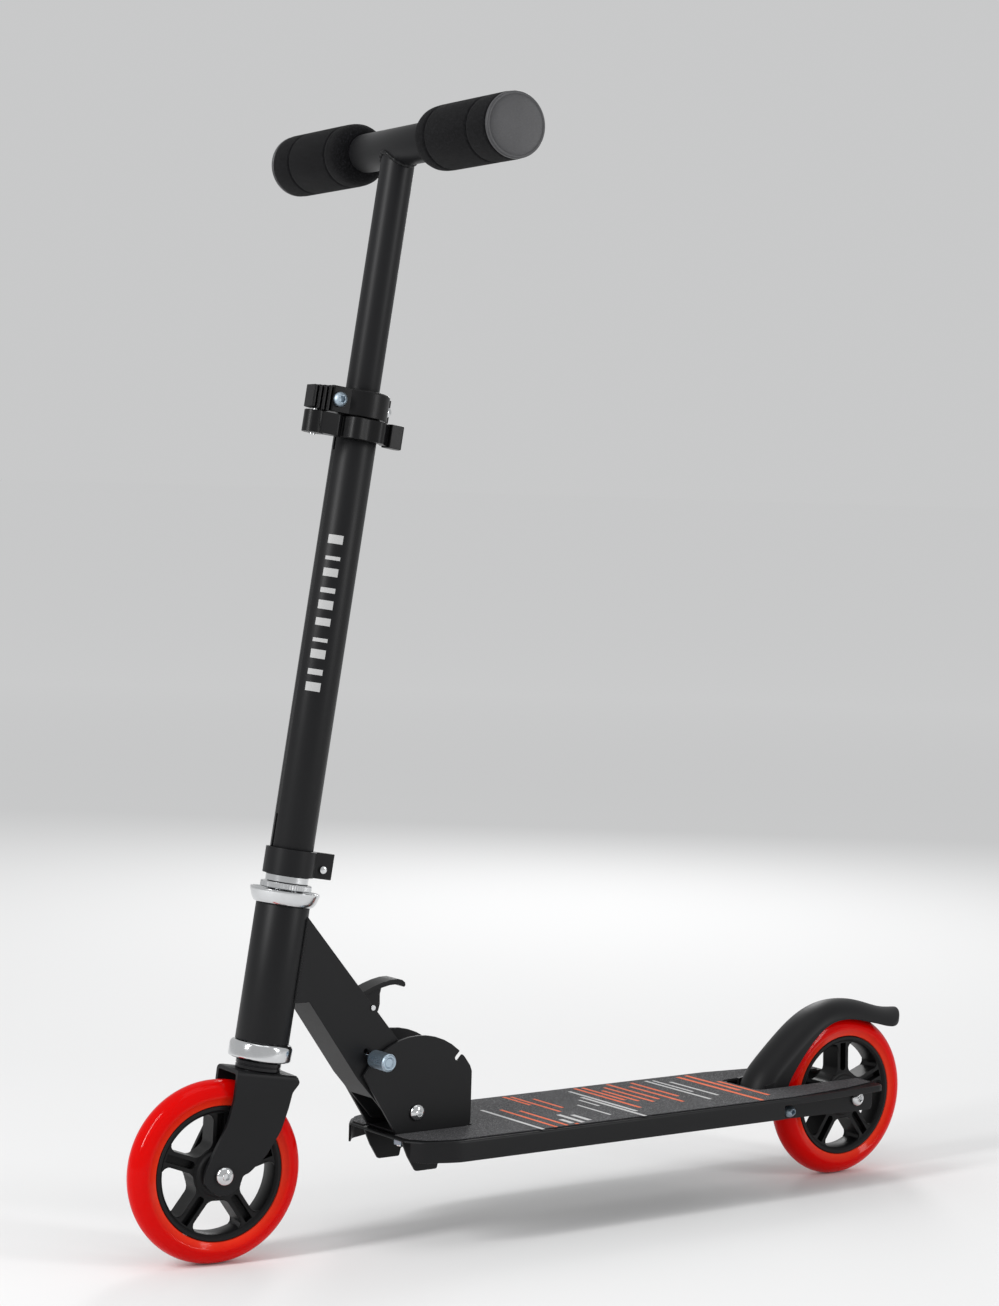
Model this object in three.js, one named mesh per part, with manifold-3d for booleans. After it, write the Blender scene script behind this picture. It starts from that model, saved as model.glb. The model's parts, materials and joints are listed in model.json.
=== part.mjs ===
// A folding two-wheel kick scooter, in millimetres, standing on its wheels.
// +X points the way it rides, +Y to the rider's left and +Z up.
// The design frame has x = 0 at the rear axle and z = 0 on the ground. The last lines move the
// whole scooter so that the origin is the middle of its footprint.
import * as THREE from "three";
import { mergeVertices } from "three/addons/utils/BufferGeometryUtils.js";
import Module from "manifold-3d";

const wasm = await Module();
wasm.setup();

// ---------------------------------------------------------------- driving dimensions
const touchGap = 0.3; // between pieces that seat on each other
const runGap = 0.8; // between pieces that move past each other
const degree = Math.PI / 180;

const wheel = { radius: 72.5, halfWidth: 13, coreRadius: 53.2, rimWall: 5.5, hubRadius: 23 };
const spoke = { count: 5, width: 13, grooveWidth: 6.4, grooveDepth: 6 };
const spokeClock = { front: 25, rear: 20 }; // degrees that each wheel stands turned
const bearing = { outer: 11, bore: 4.3, width: 7 };
const axleRadius = 4;
const hubHalf = 12;

const wheelbase = 653.8;
const deck = {
  top: wheel.radius + 16.7, plate: 2, flangeDepth: 17.4, lipDepth: 5.5, halfWidth: 64.4,
  front: wheelbase - 150.8, rear: -9, tailHalf: 56.6, frontHalf: 41, frontMouth: 44, bend: 2.4,
};
// The opening in the deck round the rear wheel.
const slot = { halfWidth: 24.5, front: wheel.radius + 40.5, corner: 8, flangeLead: 5 };
const tape = { thick: 0.8, edge: 3.2, tipHalf: 43.6, taperLead: -9, bracketGap: 1.5 };
const channel = {
  half: 28, wall: 2.5, front: deck.front - 6, rear: -19, footZ: deck.top - 29.7,
  frontZ: deck.top - 22.7, rearZ: deck.top - 28.5,
};

const hinge = { x: wheelbase - 175.8, z: deck.top + 16.8, boltRadius: 4 };
const bracket = {
  inner: 18.2, wall: 3, rim: 62.5, rear: hinge.x - 54.5, front: hinge.x + 19, base: 2.6,
  boltRadius: 3,
};
const bracketBolts = [[hinge.x + 8, 11], [hinge.x - 41, -11]];
const notch = { width: 4.6, bottom: 57, ride: 47.7, folded: 134 };
const lock = { pinRadius: 1.8, knobRadius: 7.7, knobLength: 22, knobGap: 1, slotReach: 9.5 };
const lever = { pivotX: hinge.x + 43, pivotZ: hinge.z + 88, pinRadius: 2.2, halfWidth: 9 };

// The steering axis leans back, and the bar stands turned a little out of line with the deck.
const leanAngle = 8.75 * degree;
const steerRest = -7.06 * degree;
const downTube = { half: 17.4, wall: 2.5, webEnd: hinge.z + 12 };

// Places up the steering axis are measured from where it meets the ground. The front axle's place
// puts the tyre, which the turned bar tilts a little, on the ground.
const trail = 24.2;
const wheelTilt = Math.sin(leanAngle) * Math.sin(steerRest);
const axleDrop = trail * Math.sin(leanAngle) * Math.cos(steerRest);
const tyreReach = (wheel.radius - wheel.halfWidth) * Math.sqrt(1 - wheelTilt ** 2) + wheel.halfWidth;
const axleS = (tyreReach - axleDrop) / Math.cos(leanAngle);
const fork = { half: 20, wall: 4, top: axleS + wheel.radius + 9.9, crown: 3.6, bend: 4.5, eye: 16.3 };
const race = { radius: 18, height: 7.4, gap: 0.6 };
const cup = { lowerRadius: 25, upperRadius: 27.8, height: 13.7, rise: 11.6 };
const headBottom = fork.top + race.height + race.gap + cup.height + 2 * touchGap;
const head = { radius: 21.4, bore: 18.2, bottom: headBottom, top: headBottom + 108.4 };
const locknut = { knurl: 5, neck: 5.8, bottom: head.top + cup.rise + 3 * touchGap };
const columnBottom = locknut.bottom + locknut.knurl + locknut.neck + touchGap;
const column = { radius: 17.3, bore: 14.1, bottom: columnBottom, top: columnBottom + 383.7 };
const steerer = { radius: 13.7, bore: 11, top: column.bottom + 85.7 };
const slit = { length: 47, half: 1.6 };
const locknutRadius = column.radius + 3.1;
const band = {
  height: 20.7, wall: 2.7, earReach: column.radius + 19.7, earHalf: 3.6,
  boltX: column.radius + 10.7,
};
const clamp = {
  bottom: column.top - 19, top: column.top + 2, wall: 5, earHalf: 13, slit: 3,
  front: column.radius + 15.7, boltX: column.radius + 9.2, boltS: column.top - 9,
};
const clampLever = {
  bottom: column.top - 37.5, top: column.top - 20.5, pinX: column.radius + 24.7, pinY: 8,
  pinRadius: 2.5, inner: column.radius + 2.1,
};
const bar = {
  s: column.top + 199.6, tube: 13.55, tubeBore: 11.6, tubeBottom: column.top - 64,
  sleeve: 15.6, sleeveHalf: 60,
};
const handle = { radius: 12.4, bore: 10.4, end: 181 };
const grip = {
  radius: 25.5, inner: 63, outer: handle.end + 0.5, groove: 1.1, grooves: [86, 152],
};
const cap = { radius: 25.2, thick: 3.5, plug: 12 };

const brake = {
  x: wheel.radius + 9, z: wheel.radius - 3.5, boltRadius: 3, half: 20, wall: 2.5, eye: 7,
  earWall: 2.5,
};

// ---------------------------------------------------------------- materials
const finish = (color, roughness, metalness) =>
  new THREE.MeshStandardMaterial({ color, roughness, metalness });
const black = finish(0x232427, 0.5, 0.3);
const plastic = finish(0x1f2022, 0.45, 0);
const rubber = finish(0xd81410, 0.25, 0);
const foam = finish(0x1b1b1c, 0.9, 0);
const steel = finish(0xb9bcc0, 0.25, 1);
const zinc = finish(0x8fa0b0, 0.35, 1);
const gritty = finish(0x2c2d2f, 0.95, 0);
const capGrey = finish(0x6a6a6d, 0.5, 0);

// ---------------------------------------------------------------- shape helpers
// A closed geometry as a solid that can be cut and joined.
function toSolid(geometry) {
  const bare = new THREE.BufferGeometry();
  bare.setAttribute("position", geometry.getAttribute("position"));
  bare.setIndex(geometry.index);
  const merged = mergeVertices(bare, 1e-3);
  const vertProperties = merged.attributes.position.array;
  const triVerts = new Uint32Array(merged.index.array);
  return new wasm.Manifold(new wasm.Mesh({ numProp: 3, vertProperties, triVerts }));
}

function toGeometry(solid) {
  const mesh = solid.getMesh();
  const geometry = new THREE.BufferGeometry();
  geometry.setAttribute("position", new THREE.BufferAttribute(mesh.vertProperties, 3));
  geometry.setIndex(new THREE.BufferAttribute(mesh.triVerts, 1));
  return geometry;
}

const facets = (radius) => (radius > 40 ? 40 : radius > 12 ? 24 : radius > 5 ? 16 : 12);

// A closed profile of [radius, height] points, run anticlockwise, turned about Z.
function turned(profile, segments) {
  const points = [...profile, profile[0]].map(([r, h]) => new THREE.Vector2(r, h));
  const widest = Math.max(...profile.map(([r]) => r));
  const round = new THREE.LatheGeometry(points, segments ?? facets(widest));
  return toSolid(round.rotateX(Math.PI / 2));
}

const ring = (outer, inner, low, high, segments) =>
  turned([[inner, low], [outer, low], [outer, high], [inner, high]], segments);
const rod = (radius, low, high, segments) =>
  turned([[0, low], [radius, low], [radius, high], [0, high]], segments);

// Turns a solid built about Z so that its axis lies along Y, top to the left.
const alongY = (solid) => solid.rotate([-90, 0, 0]);
const block = (x0, x1, y0, y1, z0, z1) => {
  const box = new THREE.BoxGeometry(x1 - x0, y1 - y0, z1 - z0);
  return toSolid(box.translate((x0 + x1) / 2, (y0 + y1) / 2, (z0 + z1) / 2));
};

// A closed outline through [x, y, corner radius] points.
function outline(points) {
  const shape = new THREE.Shape();
  const count = points.length;
  points.forEach(([x, y, radius = 0], i) => {
    const here = new THREE.Vector2(x, y);
    const before = new THREE.Vector2(...points[(i + count - 1) % count].slice(0, 2)).sub(here);
    const after = new THREE.Vector2(...points[(i + 1) % count].slice(0, 2)).sub(here);
    const half = Math.abs(before.angleTo(after)) / 2;
    const reach = Math.min(radius / Math.tan(half), before.length() * 0.49, after.length() * 0.49);
    const start = here.clone().add(before.setLength(reach));
    const end = here.clone().add(after.setLength(reach));
    if (i === 0) shape.moveTo(start.x, start.y);
    else shape.lineTo(start.x, start.y);
    if (radius > 0) shape.quadraticCurveTo(x, y, end.x, end.y);
  });
  shape.closePath();
  return shape;
}

function extruded(shape, low, high, curveSegments = 3) {
  const options = { depth: high - low, bevelEnabled: false, curveSegments };
  return toSolid(new THREE.ExtrudeGeometry(shape, options).translate(0, 0, low));
}

// An outline drawn in X and Z, thick from y = low to y = high.
const sidePlate = (points, low, high, curveSegments) =>
  extruded(outline(points), -high, -low, curveSegments).rotate([90, 0, 0]);

function hexagon(acrossFlats) {
  const corner = acrossFlats / Math.sqrt(3);
  return outline([...Array(6).keys()].map((i) => {
    const turn = (i + 0.5) * 60 * degree;
    return [corner * Math.sin(turn), corner * Math.cos(turn)];
  }));
}

const nutSolid = (acrossFlats, height, bore) =>
  extruded(hexagon(acrossFlats), 0, height).subtract(rod(bore, -1, height + 1));

// A button-head bolt with a hexagon socket: head above z = 0, shank below.
function boltSolid(headRadius, headHeight, shankRadius, length, socket) {
  const dome = [1, 0.93, 0.78, 0.52].map((share, i) =>
    [headRadius * share, headHeight * (0.3 + 0.23 * i)]);
  const profile = [
    [0, -length], [shankRadius, -length], [shankRadius, 0], [headRadius * 0.96, 0], ...dome,
    [0, headHeight],
  ];
  const cut = extruded(hexagon(socket), headHeight * 0.4, headHeight + 1);
  return turned(profile).subtract(cut);
}

// The point at an angle and radius about the fold hinge.
const aboutHinge = (degrees, radius) => [
  hinge.x + radius * Math.cos(degrees * degree),
  hinge.z + radius * Math.sin(degrees * degree),
];

// ---------------------------------------------------------------- groups
const scooter = new THREE.Group();
const rearWheelGroup = new THREE.Group();
rearWheelGroup.position.set(0, 0, wheel.radius);
const headGroup = new THREE.Group();
// The steering axis meets the ground this far ahead of the rear axle.
const axisFoot = wheelbase - trail * Math.cos(leanAngle) + axleS * Math.sin(leanAngle);
headGroup.position.set(axisFoot, 0, 0);
headGroup.rotation.y = -leanAngle;
const steeringGroup = new THREE.Group();
steeringGroup.rotation.z = steerRest;
const frontWheelGroup = new THREE.Group();
frontWheelGroup.position.set(trail, 0, axleS);
scooter.add(rearWheelGroup, headGroup);
headGroup.add(steeringGroup);
steeringGroup.add(frontWheelGroup);

function add(group, name, solid, material) {
  const mesh = new THREE.Mesh(toGeometry(solid), material);
  mesh.name = name;
  group.add(mesh);
}

// ---------------------------------------------------------------- wheels
function tyreSolid() {
  const { halfWidth, radius, coreRadius } = wheel;
  const seat = coreRadius + touchGap;
  const crown = radius - halfWidth;
  const steps = 6;
  const tread = [...Array(steps + 1).keys()].map((i) => {
    const turn = (i / steps - 0.5) * Math.PI;
    return [crown + halfWidth * Math.cos(turn), halfWidth * Math.sin(turn)];
  });
  return alongY(turned([[seat, halfWidth - 1.5], [seat, 1.5 - halfWidth], ...tread]));
}

// The opening between two spokes, with its middle on +X.
function windowOutline() {
  const gapHalf = Math.PI / spoke.count;
  const rim = wheel.coreRadius - wheel.rimWall;
  const rimTurn = gapHalf - Math.asin(spoke.width / 2 / rim);
  const hubTurn = gapHalf - Math.asin(spoke.width / 2 / wheel.hubRadius);
  const at = (radius, turn, corner) => [radius * Math.cos(turn), radius * Math.sin(turn), corner];
  const rimArc = [-1, -0.34, 0.34, 1].map((share) =>
    at(rim, rimTurn * share, Math.abs(share) === 1 ? 3 : 0));
  return outline([...rimArc, at(wheel.hubRadius, hubTurn, 7), at(wheel.hubRadius, -hubTurn, 7)]);
}

function grooveOutline() {
  const half = spoke.grooveWidth / 2;
  const inner = wheel.hubRadius - 4;
  const outer = wheel.coreRadius - wheel.rimWall - 0.6;
  return outline([[inner, -half, half], [outer, -half, 0.8], [outer, half, 0.8], [inner, half, half]]);
}

function coreSolid(clock) {
  const rimHalf = wheel.halfWidth - 1.2;
  const webHalf = hubHalf - 2.2;
  const rimInner = wheel.coreRadius - wheel.rimWall;
  const pocket = bearing.outer + touchGap;
  const shoulder = hubHalf - bearing.width - touchGap;
  let core = turned([
    [pocket, -hubHalf], [wheel.hubRadius - 5, -hubHalf], [wheel.hubRadius - 2, -webHalf],
    [rimInner, -webHalf], [rimInner + 1, -rimHalf], [wheel.coreRadius, -rimHalf],
    [wheel.coreRadius, rimHalf], [rimInner + 1, rimHalf], [rimInner, webHalf],
    [wheel.hubRadius - 2, webHalf], [wheel.hubRadius - 5, hubHalf], [pocket, hubHalf],
    [pocket, shoulder], [bearing.outer - 2, shoulder], [bearing.outer - 2, -shoulder],
    [pocket, -shoulder],
  ]);
  const opening = extruded(windowOutline(), -webHalf - 1, webHalf + 1, 2);
  const groove = extruded(grooveOutline(), webHalf - spoke.grooveDepth, webHalf + 2, 2);
  for (let i = 0; i < spoke.count; i++) {
    const turn = clock + (360 / spoke.count) * i;
    const grooveTurn = turn + 180 / spoke.count;
    core = core.subtract(opening.rotate([0, 0, turn]));
    core = core.subtract(groove.rotate([0, 0, grooveTurn]));
    core = core.subtract(groove.rotate([180, 0, grooveTurn]));
  }
  return alongY(core);
}

function addWheel(group, end) {
  add(group, `${end}_tyre`, tyreSolid(), rubber);
  add(group, `${end}_wheel_core`, coreSolid(spokeClock[end]), plastic);
  const inside = hubHalf - bearing.width;
  const left = alongY(ring(bearing.outer, bearing.bore, inside, hubHalf));
  add(group, `${end}_bearing_left`, left, steel);
  add(group, `${end}_bearing_right`, left.mirror([0, 1, 0]), steel);
}

// The bolt, nut and two spacers that carry a wheel between plates at y = inner to outer.
function addAxle(group, x, z, end, inner, outer, headRadius) {
  const nutHeight = 7;
  const underHead = outer + touchGap;
  const length = 2 * underHead + nutHeight + 1.5;
  const bolt = alongY(boltSolid(headRadius, 5.2, axleRadius, length, 6));
  add(group, `${end}_axle_bolt`, bolt.translate([x, underHead, z]), steel);
  const nut = alongY(nutSolid(13, nutHeight, axleRadius + touchGap));
  add(group, `${end}_axle_nut`, nut.translate([x, -underHead - nutHeight, z]), steel);
  const spacer = alongY(
    ring(axleRadius + 2.4, axleRadius + touchGap, hubHalf + touchGap, inner - touchGap));
  add(group, `${end}_axle_spacer_left`, spacer.translate([x, 0, z]), steel);
  const right = spacer.mirror([0, 1, 0]).translate([x, 0, z]);
  add(group, `${end}_axle_spacer_right`, right, steel);
}

// ---------------------------------------------------------------- deck
// The deck's edge seen from above, pulled in by an amount on every outside edge.
function deckEdge(inset, withSlot) {
  const side = deck.halfWidth - inset;
  const front = deck.front - inset;
  const left = [
    [front, deck.frontHalf - inset, 7], [front - 11, 55 - inset, 14], [front - 36, side, 30],
    [100, side, 60], [deck.rear + inset, deck.tailHalf - inset, 9],
  ];
  if (withSlot) {
    left.push([deck.rear + inset, slot.halfWidth, 4], [slot.front, slot.halfWidth, slot.corner]);
  }
  const right = left.map(([x, y, radius]) => [x, -y, radius]).reverse();
  return outline([...left, ...right]);
}

function deckPanSolid() {
  const low = deck.top - deck.flangeDepth;
  const under = deck.top - deck.plate;
  const bevel = {
    bevelEnabled: true, bevelSize: deck.bend, bevelThickness: deck.bend, bevelSegments: 2,
  };
  const shape = deckEdge(deck.bend, false);
  const depth = deck.flangeDepth + 10 - deck.bend;
  const pressed = new THREE.ExtrudeGeometry(shape, { depth, curveSegments: 3, ...bevel });
  const reach = deck.front + 200;
  const floor = block(-reach, reach, -reach, reach, low - 40, low);
  const hollow = extruded(deckEdge(deck.plate, false), low - 20, under);
  const flangeEnd = slot.front + slot.flangeLead;
  const rearTrim = block(-reach, flangeEnd, -reach, reach, low - 1, deck.top - deck.lipDepth);
  const mouth = block(deck.front - 30, reach, -deck.frontMouth, deck.frontMouth, low - 1, under);
  const slotCut = extruded(outline([
    [deck.rear - 20, -slot.halfWidth], [slot.front, -slot.halfWidth, slot.corner],
    [slot.front, slot.halfWidth, slot.corner], [deck.rear - 20, slot.halfWidth],
  ]), low - 1, deck.top + 1);
  let pan = toSolid(pressed.translate(0, 0, low - 10)).subtract(floor).subtract(hollow);
  const railHalf = channel.half + runGap;
  const railGate = block(deck.rear - 20, deck.rear + 10, -railHalf, railHalf, low - 1, under);
  pan = pan.subtract(rearTrim).subtract(mouth).subtract(slotCut).subtract(railGate);
  for (const hole of bracketBolts) pan = pan.subtract(boltHole(hole));
  return pan;
}

function gripTapeSolid() {
  const low = deck.top + touchGap;
  const side = deck.halfWidth - tape.edge;
  const front = deck.front - tape.edge;
  const rear = deck.rear + 7.6;
  const edge = slot.halfWidth + 1.2;
  const left = [
    [front, deck.frontHalf - 2, 7], [front - 11, 52.5, 14], [front - 36, side, 30],
    [slot.front + tape.taperLead, side, 20], [34, 52.5, 30], [rear, tape.tipHalf, 2], [rear, edge, 2],
    [slot.front + 3, edge, slot.corner],
  ];
  const right = left.map(([x, y, radius]) => [x, -y, radius]).reverse();
  const sheet = extruded(outline([...left, ...right]), low, low + tape.thick);
  const half = bracket.inner + bracket.wall + tape.bracketGap;
  const rearEdge = bracket.rear - tape.bracketGap;
  const aroundBracket = outline([
    [deck.front + 5, -half], [deck.front + 5, half], [rearEdge, half, 3], [rearEdge, -half, 3],
  ]);
  return sheet.subtract(extruded(aroundBracket, low - 1, low + 5));
}

// The folded steel channel under the deck: it carries the hinge bracket in front and the rear
// wheel and brake behind.
function channelSolid() {
  const top = deck.top - deck.plate - touchGap;
  const wallShape = [
    [channel.front, top], [channel.front - 7, deck.top - 17.2, 4], [channel.front - 15, channel.footZ, 3],
    [channel.front - 36, channel.footZ, 2], [channel.front - 37.5, channel.frontZ, 2],
    [channel.rear, channel.rearZ, 4], [channel.rear, top - 7, 5], [channel.rear + 9, top],
  ];
  const inner = channel.half - channel.wall;
  const solid = sidePlate(wallShape, -channel.half, channel.half);
  const underWeb = top - channel.wall;
  const hollow = block(channel.rear - 5, channel.front + 5, -inner, inner, 40, underWeb);
  const wheelSlot = block(channel.rear - 5, slot.front + 3, -inner, inner, 40, top + 1);
  let made = solid.subtract(hollow).subtract(wheelSlot);
  for (const hole of bracketBolts) made = made.subtract(boltHole(hole));
  made = made.subtract(crossHole(0, wheel.radius, axleRadius));
  return made.subtract(crossHole(brake.x, brake.z, brake.boltRadius));
}

const crossHole = (x, z, radius) => alongY(rod(radius + touchGap, -80, 80)).translate([x, 0, z]);

// ---------------------------------------------------------------- fold bracket
const boltHole = ([x, y]) =>
  rod(bracket.boltRadius + touchGap, deck.top - 40, deck.top + 20).translate([x, y, 0]);

function bracketSideOutline() {
  const foot = deck.top + touchGap;
  const rimStart = 33;
  const rimEnd = 147;
  const steps = 14;
  const rim = [...Array(steps + 1).keys()].map((i) =>
    aboutHinge(rimStart + ((rimEnd - rimStart) * i) / steps, bracket.rim));
  return [
    [bracket.front, foot, 1], ...rim, [bracket.rear, aboutHinge(rimEnd, bracket.rim)[1] - 5, 6],
    [bracket.rear, foot, 5],
  ];
}

function notchCut(degrees) {
  const half = notch.width / 2;
  const slotShape = [
    [notch.bottom - half, -half, half], [bracket.rim + 8, -half], [bracket.rim + 8, half],
    [notch.bottom - half, half, half],
  ];
  return sidePlate(slotShape, -40, 40).rotate([0, -degrees, 0]).translate([hinge.x, 0, hinge.z]);
}

function bracketSolid() {
  const outer = bracket.inner + bracket.wall;
  const foot = deck.top + touchGap;
  const solid = sidePlate(bracketSideOutline(), -outer, outer);
  const hollow = block(
    hinge.x - 100, hinge.x + 100, -bracket.inner, bracket.inner, foot + bracket.base, hinge.z + 100);
  let made = solid.subtract(hollow).subtract(notchCut(notch.ride)).subtract(notchCut(notch.folded));
  for (const hole of bracketBolts) made = made.subtract(boltHole(hole));
  return made.subtract(crossHole(hinge.x, hinge.z, hinge.boltRadius));
}

function addBracketFasteners() {
  const seat = deck.top + touchGap + bracket.base + touchGap;
  const under = deck.top - deck.plate - touchGap - channel.wall - touchGap;
  const nutHeight = 5;
  bracketBolts.forEach(([x, y], i) => {
    const length = seat - under + nutHeight + 1.5;
    const bolt = boltSolid(5.5, 3.2, bracket.boltRadius, length, 4).translate([x, y, seat]);
    add(scooter, `bracket_bolt_${i + 1}`, bolt, steel);
    const nut = nutSolid(10, nutHeight, bracket.boltRadius + touchGap);
    add(scooter, `bracket_nut_${i + 1}`, nut.translate([x, y, under - nutHeight]), zinc);
  });
}

function addHingeBolt() {
  const outer = bracket.inner + bracket.wall + touchGap;
  const nutHeight = 6.5;
  const bolt = alongY(boltSolid(6.9, 4.6, hinge.boltRadius, 2 * outer + nutHeight + 1.5, 5));
  add(scooter, "fold_hinge_bolt", bolt.translate([hinge.x, outer, hinge.z]), steel);
  const nut = alongY(nutSolid(13, nutHeight, hinge.boltRadius + touchGap));
  add(scooter, "fold_hinge_nut", nut.translate([hinge.x, -outer - nutHeight, hinge.z]), steel);
  const half = downTube.half - downTube.wall - touchGap;
  const sleeve = alongY(ring(hinge.boltRadius + 2.6, hinge.boltRadius + touchGap, -half, half));
  add(scooter, "fold_hinge_sleeve", sleeve.translate([hinge.x, 0, hinge.z]), steel);
}

// ---------------------------------------------------------------- front frame
// The down tube is a channel, open to the rear, whose two sides reach down to the fold hinge.
function downTubeSolid() {
  const axisX = (z) => axisFoot - z * Math.tan(leanAngle);
  const at = (ahead, above, corner) => [hinge.x + ahead, hinge.z + above, corner];
  const high = head.top - 10.7;
  const [footX, footZ] = at(56, 32);
  const [tipX, tipZ] = [axisX(head.bottom) - 32.2, head.bottom + 28.7];
  const side = [
    [axisX(high) - 4, high], [axisX(high) - 13, high, 6], at(19, 62), at(-6, 35, 8),
    at(-13, 4, 8), at(-8, -12, 8), at(19, -9, 4), [footX, footZ], [tipX, tipZ],
    [axisX(tipZ) - 4, tipZ],
  ];
  const solid = sidePlate(side, -downTube.half, downTube.half);
  const [edgeX, edgeZ] = [tipX - footX, tipZ - footZ];
  const share = downTube.wall / Math.hypot(edgeX, edgeZ);
  const [lowX, lowZ] = [footX - edgeZ * share - edgeX, footZ + edgeX * share - edgeZ];
  const inside = [
    [lowX + 2.2 * edgeX, lowZ + 2.2 * edgeZ], [tipX - 200, tipZ + 300], at(-178, -46), at(82, -46),
    [hinge.x + 82, downTube.webEnd],
    [lowX + (downTube.webEnd - lowZ) * (edgeX / edgeZ), downTube.webEnd],
  ];
  const half = downTube.half - downTube.wall;
  let made = solid.subtract(sidePlate(inside, -half, half));
  made = made.subtract(inHeadFrame(rod(head.radius + touchGap, head.bottom - 80, head.top + 120)));
  made = made.subtract(crossHole(hinge.x, hinge.z, hinge.boltRadius));
  made = made.subtract(crossHole(lever.pivotX, lever.pivotZ, lever.pinRadius));
  return made.subtract(lockSlotCut());
}

const inHeadFrame = (solid) =>
  solid.rotate([0, -leanAngle / degree, 0]).translate([axisFoot, 0, 0]);

// The lock pin stands just clear of the bracket's rim and travels inwards to seat in a notch.
const pinStand = bracket.rim + lock.pinRadius + touchGap;

function lockSlotCut() {
  const half = lock.pinRadius + touchGap;
  const shape = [
    [notch.bottom - half, -half, half], [pinStand + lock.slotReach, -half, half],
    [pinStand + lock.slotReach, half, half], [notch.bottom - half, half, half],
  ];
  return sidePlate(shape, -40, 40).rotate([0, -notch.ride, 0]).translate([hinge.x, 0, hinge.z]);
}

function addHeadset() {
  add(headGroup, "head_tube", ring(head.radius, head.bore, head.bottom, head.top), black);
  const spigot = head.bore - touchGap;
  const bore = steerer.radius + 1.6;
  const low = head.bottom - touchGap;
  const lower = turned([
    [bore, low - 5], [spigot + 2.2, low - 5], [spigot + 2.2, low - cup.height],
    [cup.lowerRadius - 2, low - cup.height], [cup.lowerRadius, low - cup.height + 2],
    [cup.lowerRadius, low - 3], [cup.lowerRadius - 2.6, low], [spigot, low], [spigot, low + 9],
    [bore, low + 9],
  ]);
  add(headGroup, "lower_bearing_cup", lower, steel);
  const high = head.top + touchGap;
  const upper = turned([
    [bore, high - 9], [spigot, high - 9], [spigot, high], [cup.upperRadius - 4.5, high],
    [cup.upperRadius - 2.2, high + 3.4], [cup.upperRadius, high + 9.6],
    [cup.upperRadius, high + cup.rise], [cup.upperRadius - 1.6, high + cup.rise],
    [cup.upperRadius - 4, high + 6], [spigot + 1.6, high + 5], [bore, high + 5],
  ]);
  add(headGroup, "upper_bearing_cup", upper, steel);
  const balls = (z) => ring(spigot + 1.4, steerer.radius + 2.2, z, z + 4);
  add(headGroup, "upper_bearing", balls(high + 5 + touchGap), steel);
  add(headGroup, "lower_bearing", balls(low - 5 - touchGap - 4), steel);
}

// ---------------------------------------------------------------- lock and release lever
function knobSolid() {
  const ribs = 10;
  const points = [...Array(2 * ribs).keys()].map((i) => {
    const turn = (i * Math.PI) / ribs;
    const radius = lock.knobRadius - (i % 2 ? 0.6 : 0);
    return [radius * Math.cos(turn), radius * Math.sin(turn)];
  });
  const barrel = extruded(outline(points), 0, lock.knobLength);
  const trim = turned([
    [0, -1], [lock.knobRadius + 1, -1], [lock.knobRadius + 1, lock.knobLength - 1.8],
    [lock.knobRadius - 1.2, lock.knobLength], [0, lock.knobLength],
  ]);
  const dish = turned([
    [0, lock.knobLength - 1.2], [3.4, lock.knobLength - 1.2], [4.6, lock.knobLength + 1],
    [0, lock.knobLength + 1],
  ]);
  return barrel.intersect(trim).subtract(dish);
}

function addLock() {
  const outer = bracket.inner + bracket.wall + lock.knobGap;
  const [x, z] = aboutHinge(notch.ride, pinStand);
  const depth = 15;
  const bore = rod(lock.pinRadius + touchGap, -1, depth + touchGap);
  const knob = alongY(knobSolid()).translate([0, outer, 0]);
  const pin = alongY(rod(lock.pinRadius, -outer - 1, outer + depth));
  const headedPin = pin.add(knob.mirror([0, 1, 0]));
  add(scooter, "lock_pin", headedPin.translate([x, 0, z]), zinc);
  const screwedOn = knob.subtract(alongY(bore).translate([0, outer, 0]));
  add(scooter, "lock_knob", screwedOn.translate([x, 0, z]), zinc);
}

// A bent strip whose tab stands out behind the down tube and whose forked tail holds the lock pin.
function leverSolid() {
  const [pinX, pinZ] = aboutHinge(notch.ride, pinStand);
  const at = (ahead, above, corner) => [lever.pivotX + ahead, lever.pivotZ + above, corner];
  const tab = [
    at(7, 6, 3), at(8, 13, 3), at(-9, 19.5, 12), at(-24, 21, 6), at(-35, 19, 3),
    at(-37.5, 12.5, 3), at(-29, 8.5, 6), at(-16, 7, 3), at(-17, -6, 4), at(-8, -8, 3),
  ];
  const tail = [
    at(-6, 5, 2), at(6.5, 5, 3), [lever.pivotX + 5.5, pinZ + 14, 3], [pinX + 5.4, pinZ + 6, 2],
    [pinX + 5.4, pinZ - 11, 1.5], [pinX - 5.4, pinZ - 11, 1.5], [pinX - 5.4, pinZ + 4, 2],
    [lever.pivotX - 7, pinZ + 14, 4],
  ];
  const half = lock.pinRadius + runGap;
  const pinFork = [
    [pinX - half, pinZ - 30], [pinX - half, pinZ + half, half], [pinX + half, pinZ + half, half],
    [pinX + half, pinZ - 30],
  ];
  const tailHalf = 5;
  let made = sidePlate(tab, -lever.halfWidth, lever.halfWidth);
  made = made.add(sidePlate(tail, -tailHalf, tailHalf)).subtract(sidePlate(pinFork, -20, 20));
  return made.subtract(crossHole(lever.pivotX, lever.pivotZ, lever.pinRadius));
}

function addReleaseLever() {
  add(scooter, "release_lever", leverSolid(), black);
  const pin = alongY(rod(lever.pinRadius, -downTube.half - 1.2, downTube.half + 1.2));
  add(scooter, "lever_pivot_pin", pin.translate([lever.pivotX, 0, lever.pivotZ]), steel);
}

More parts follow.
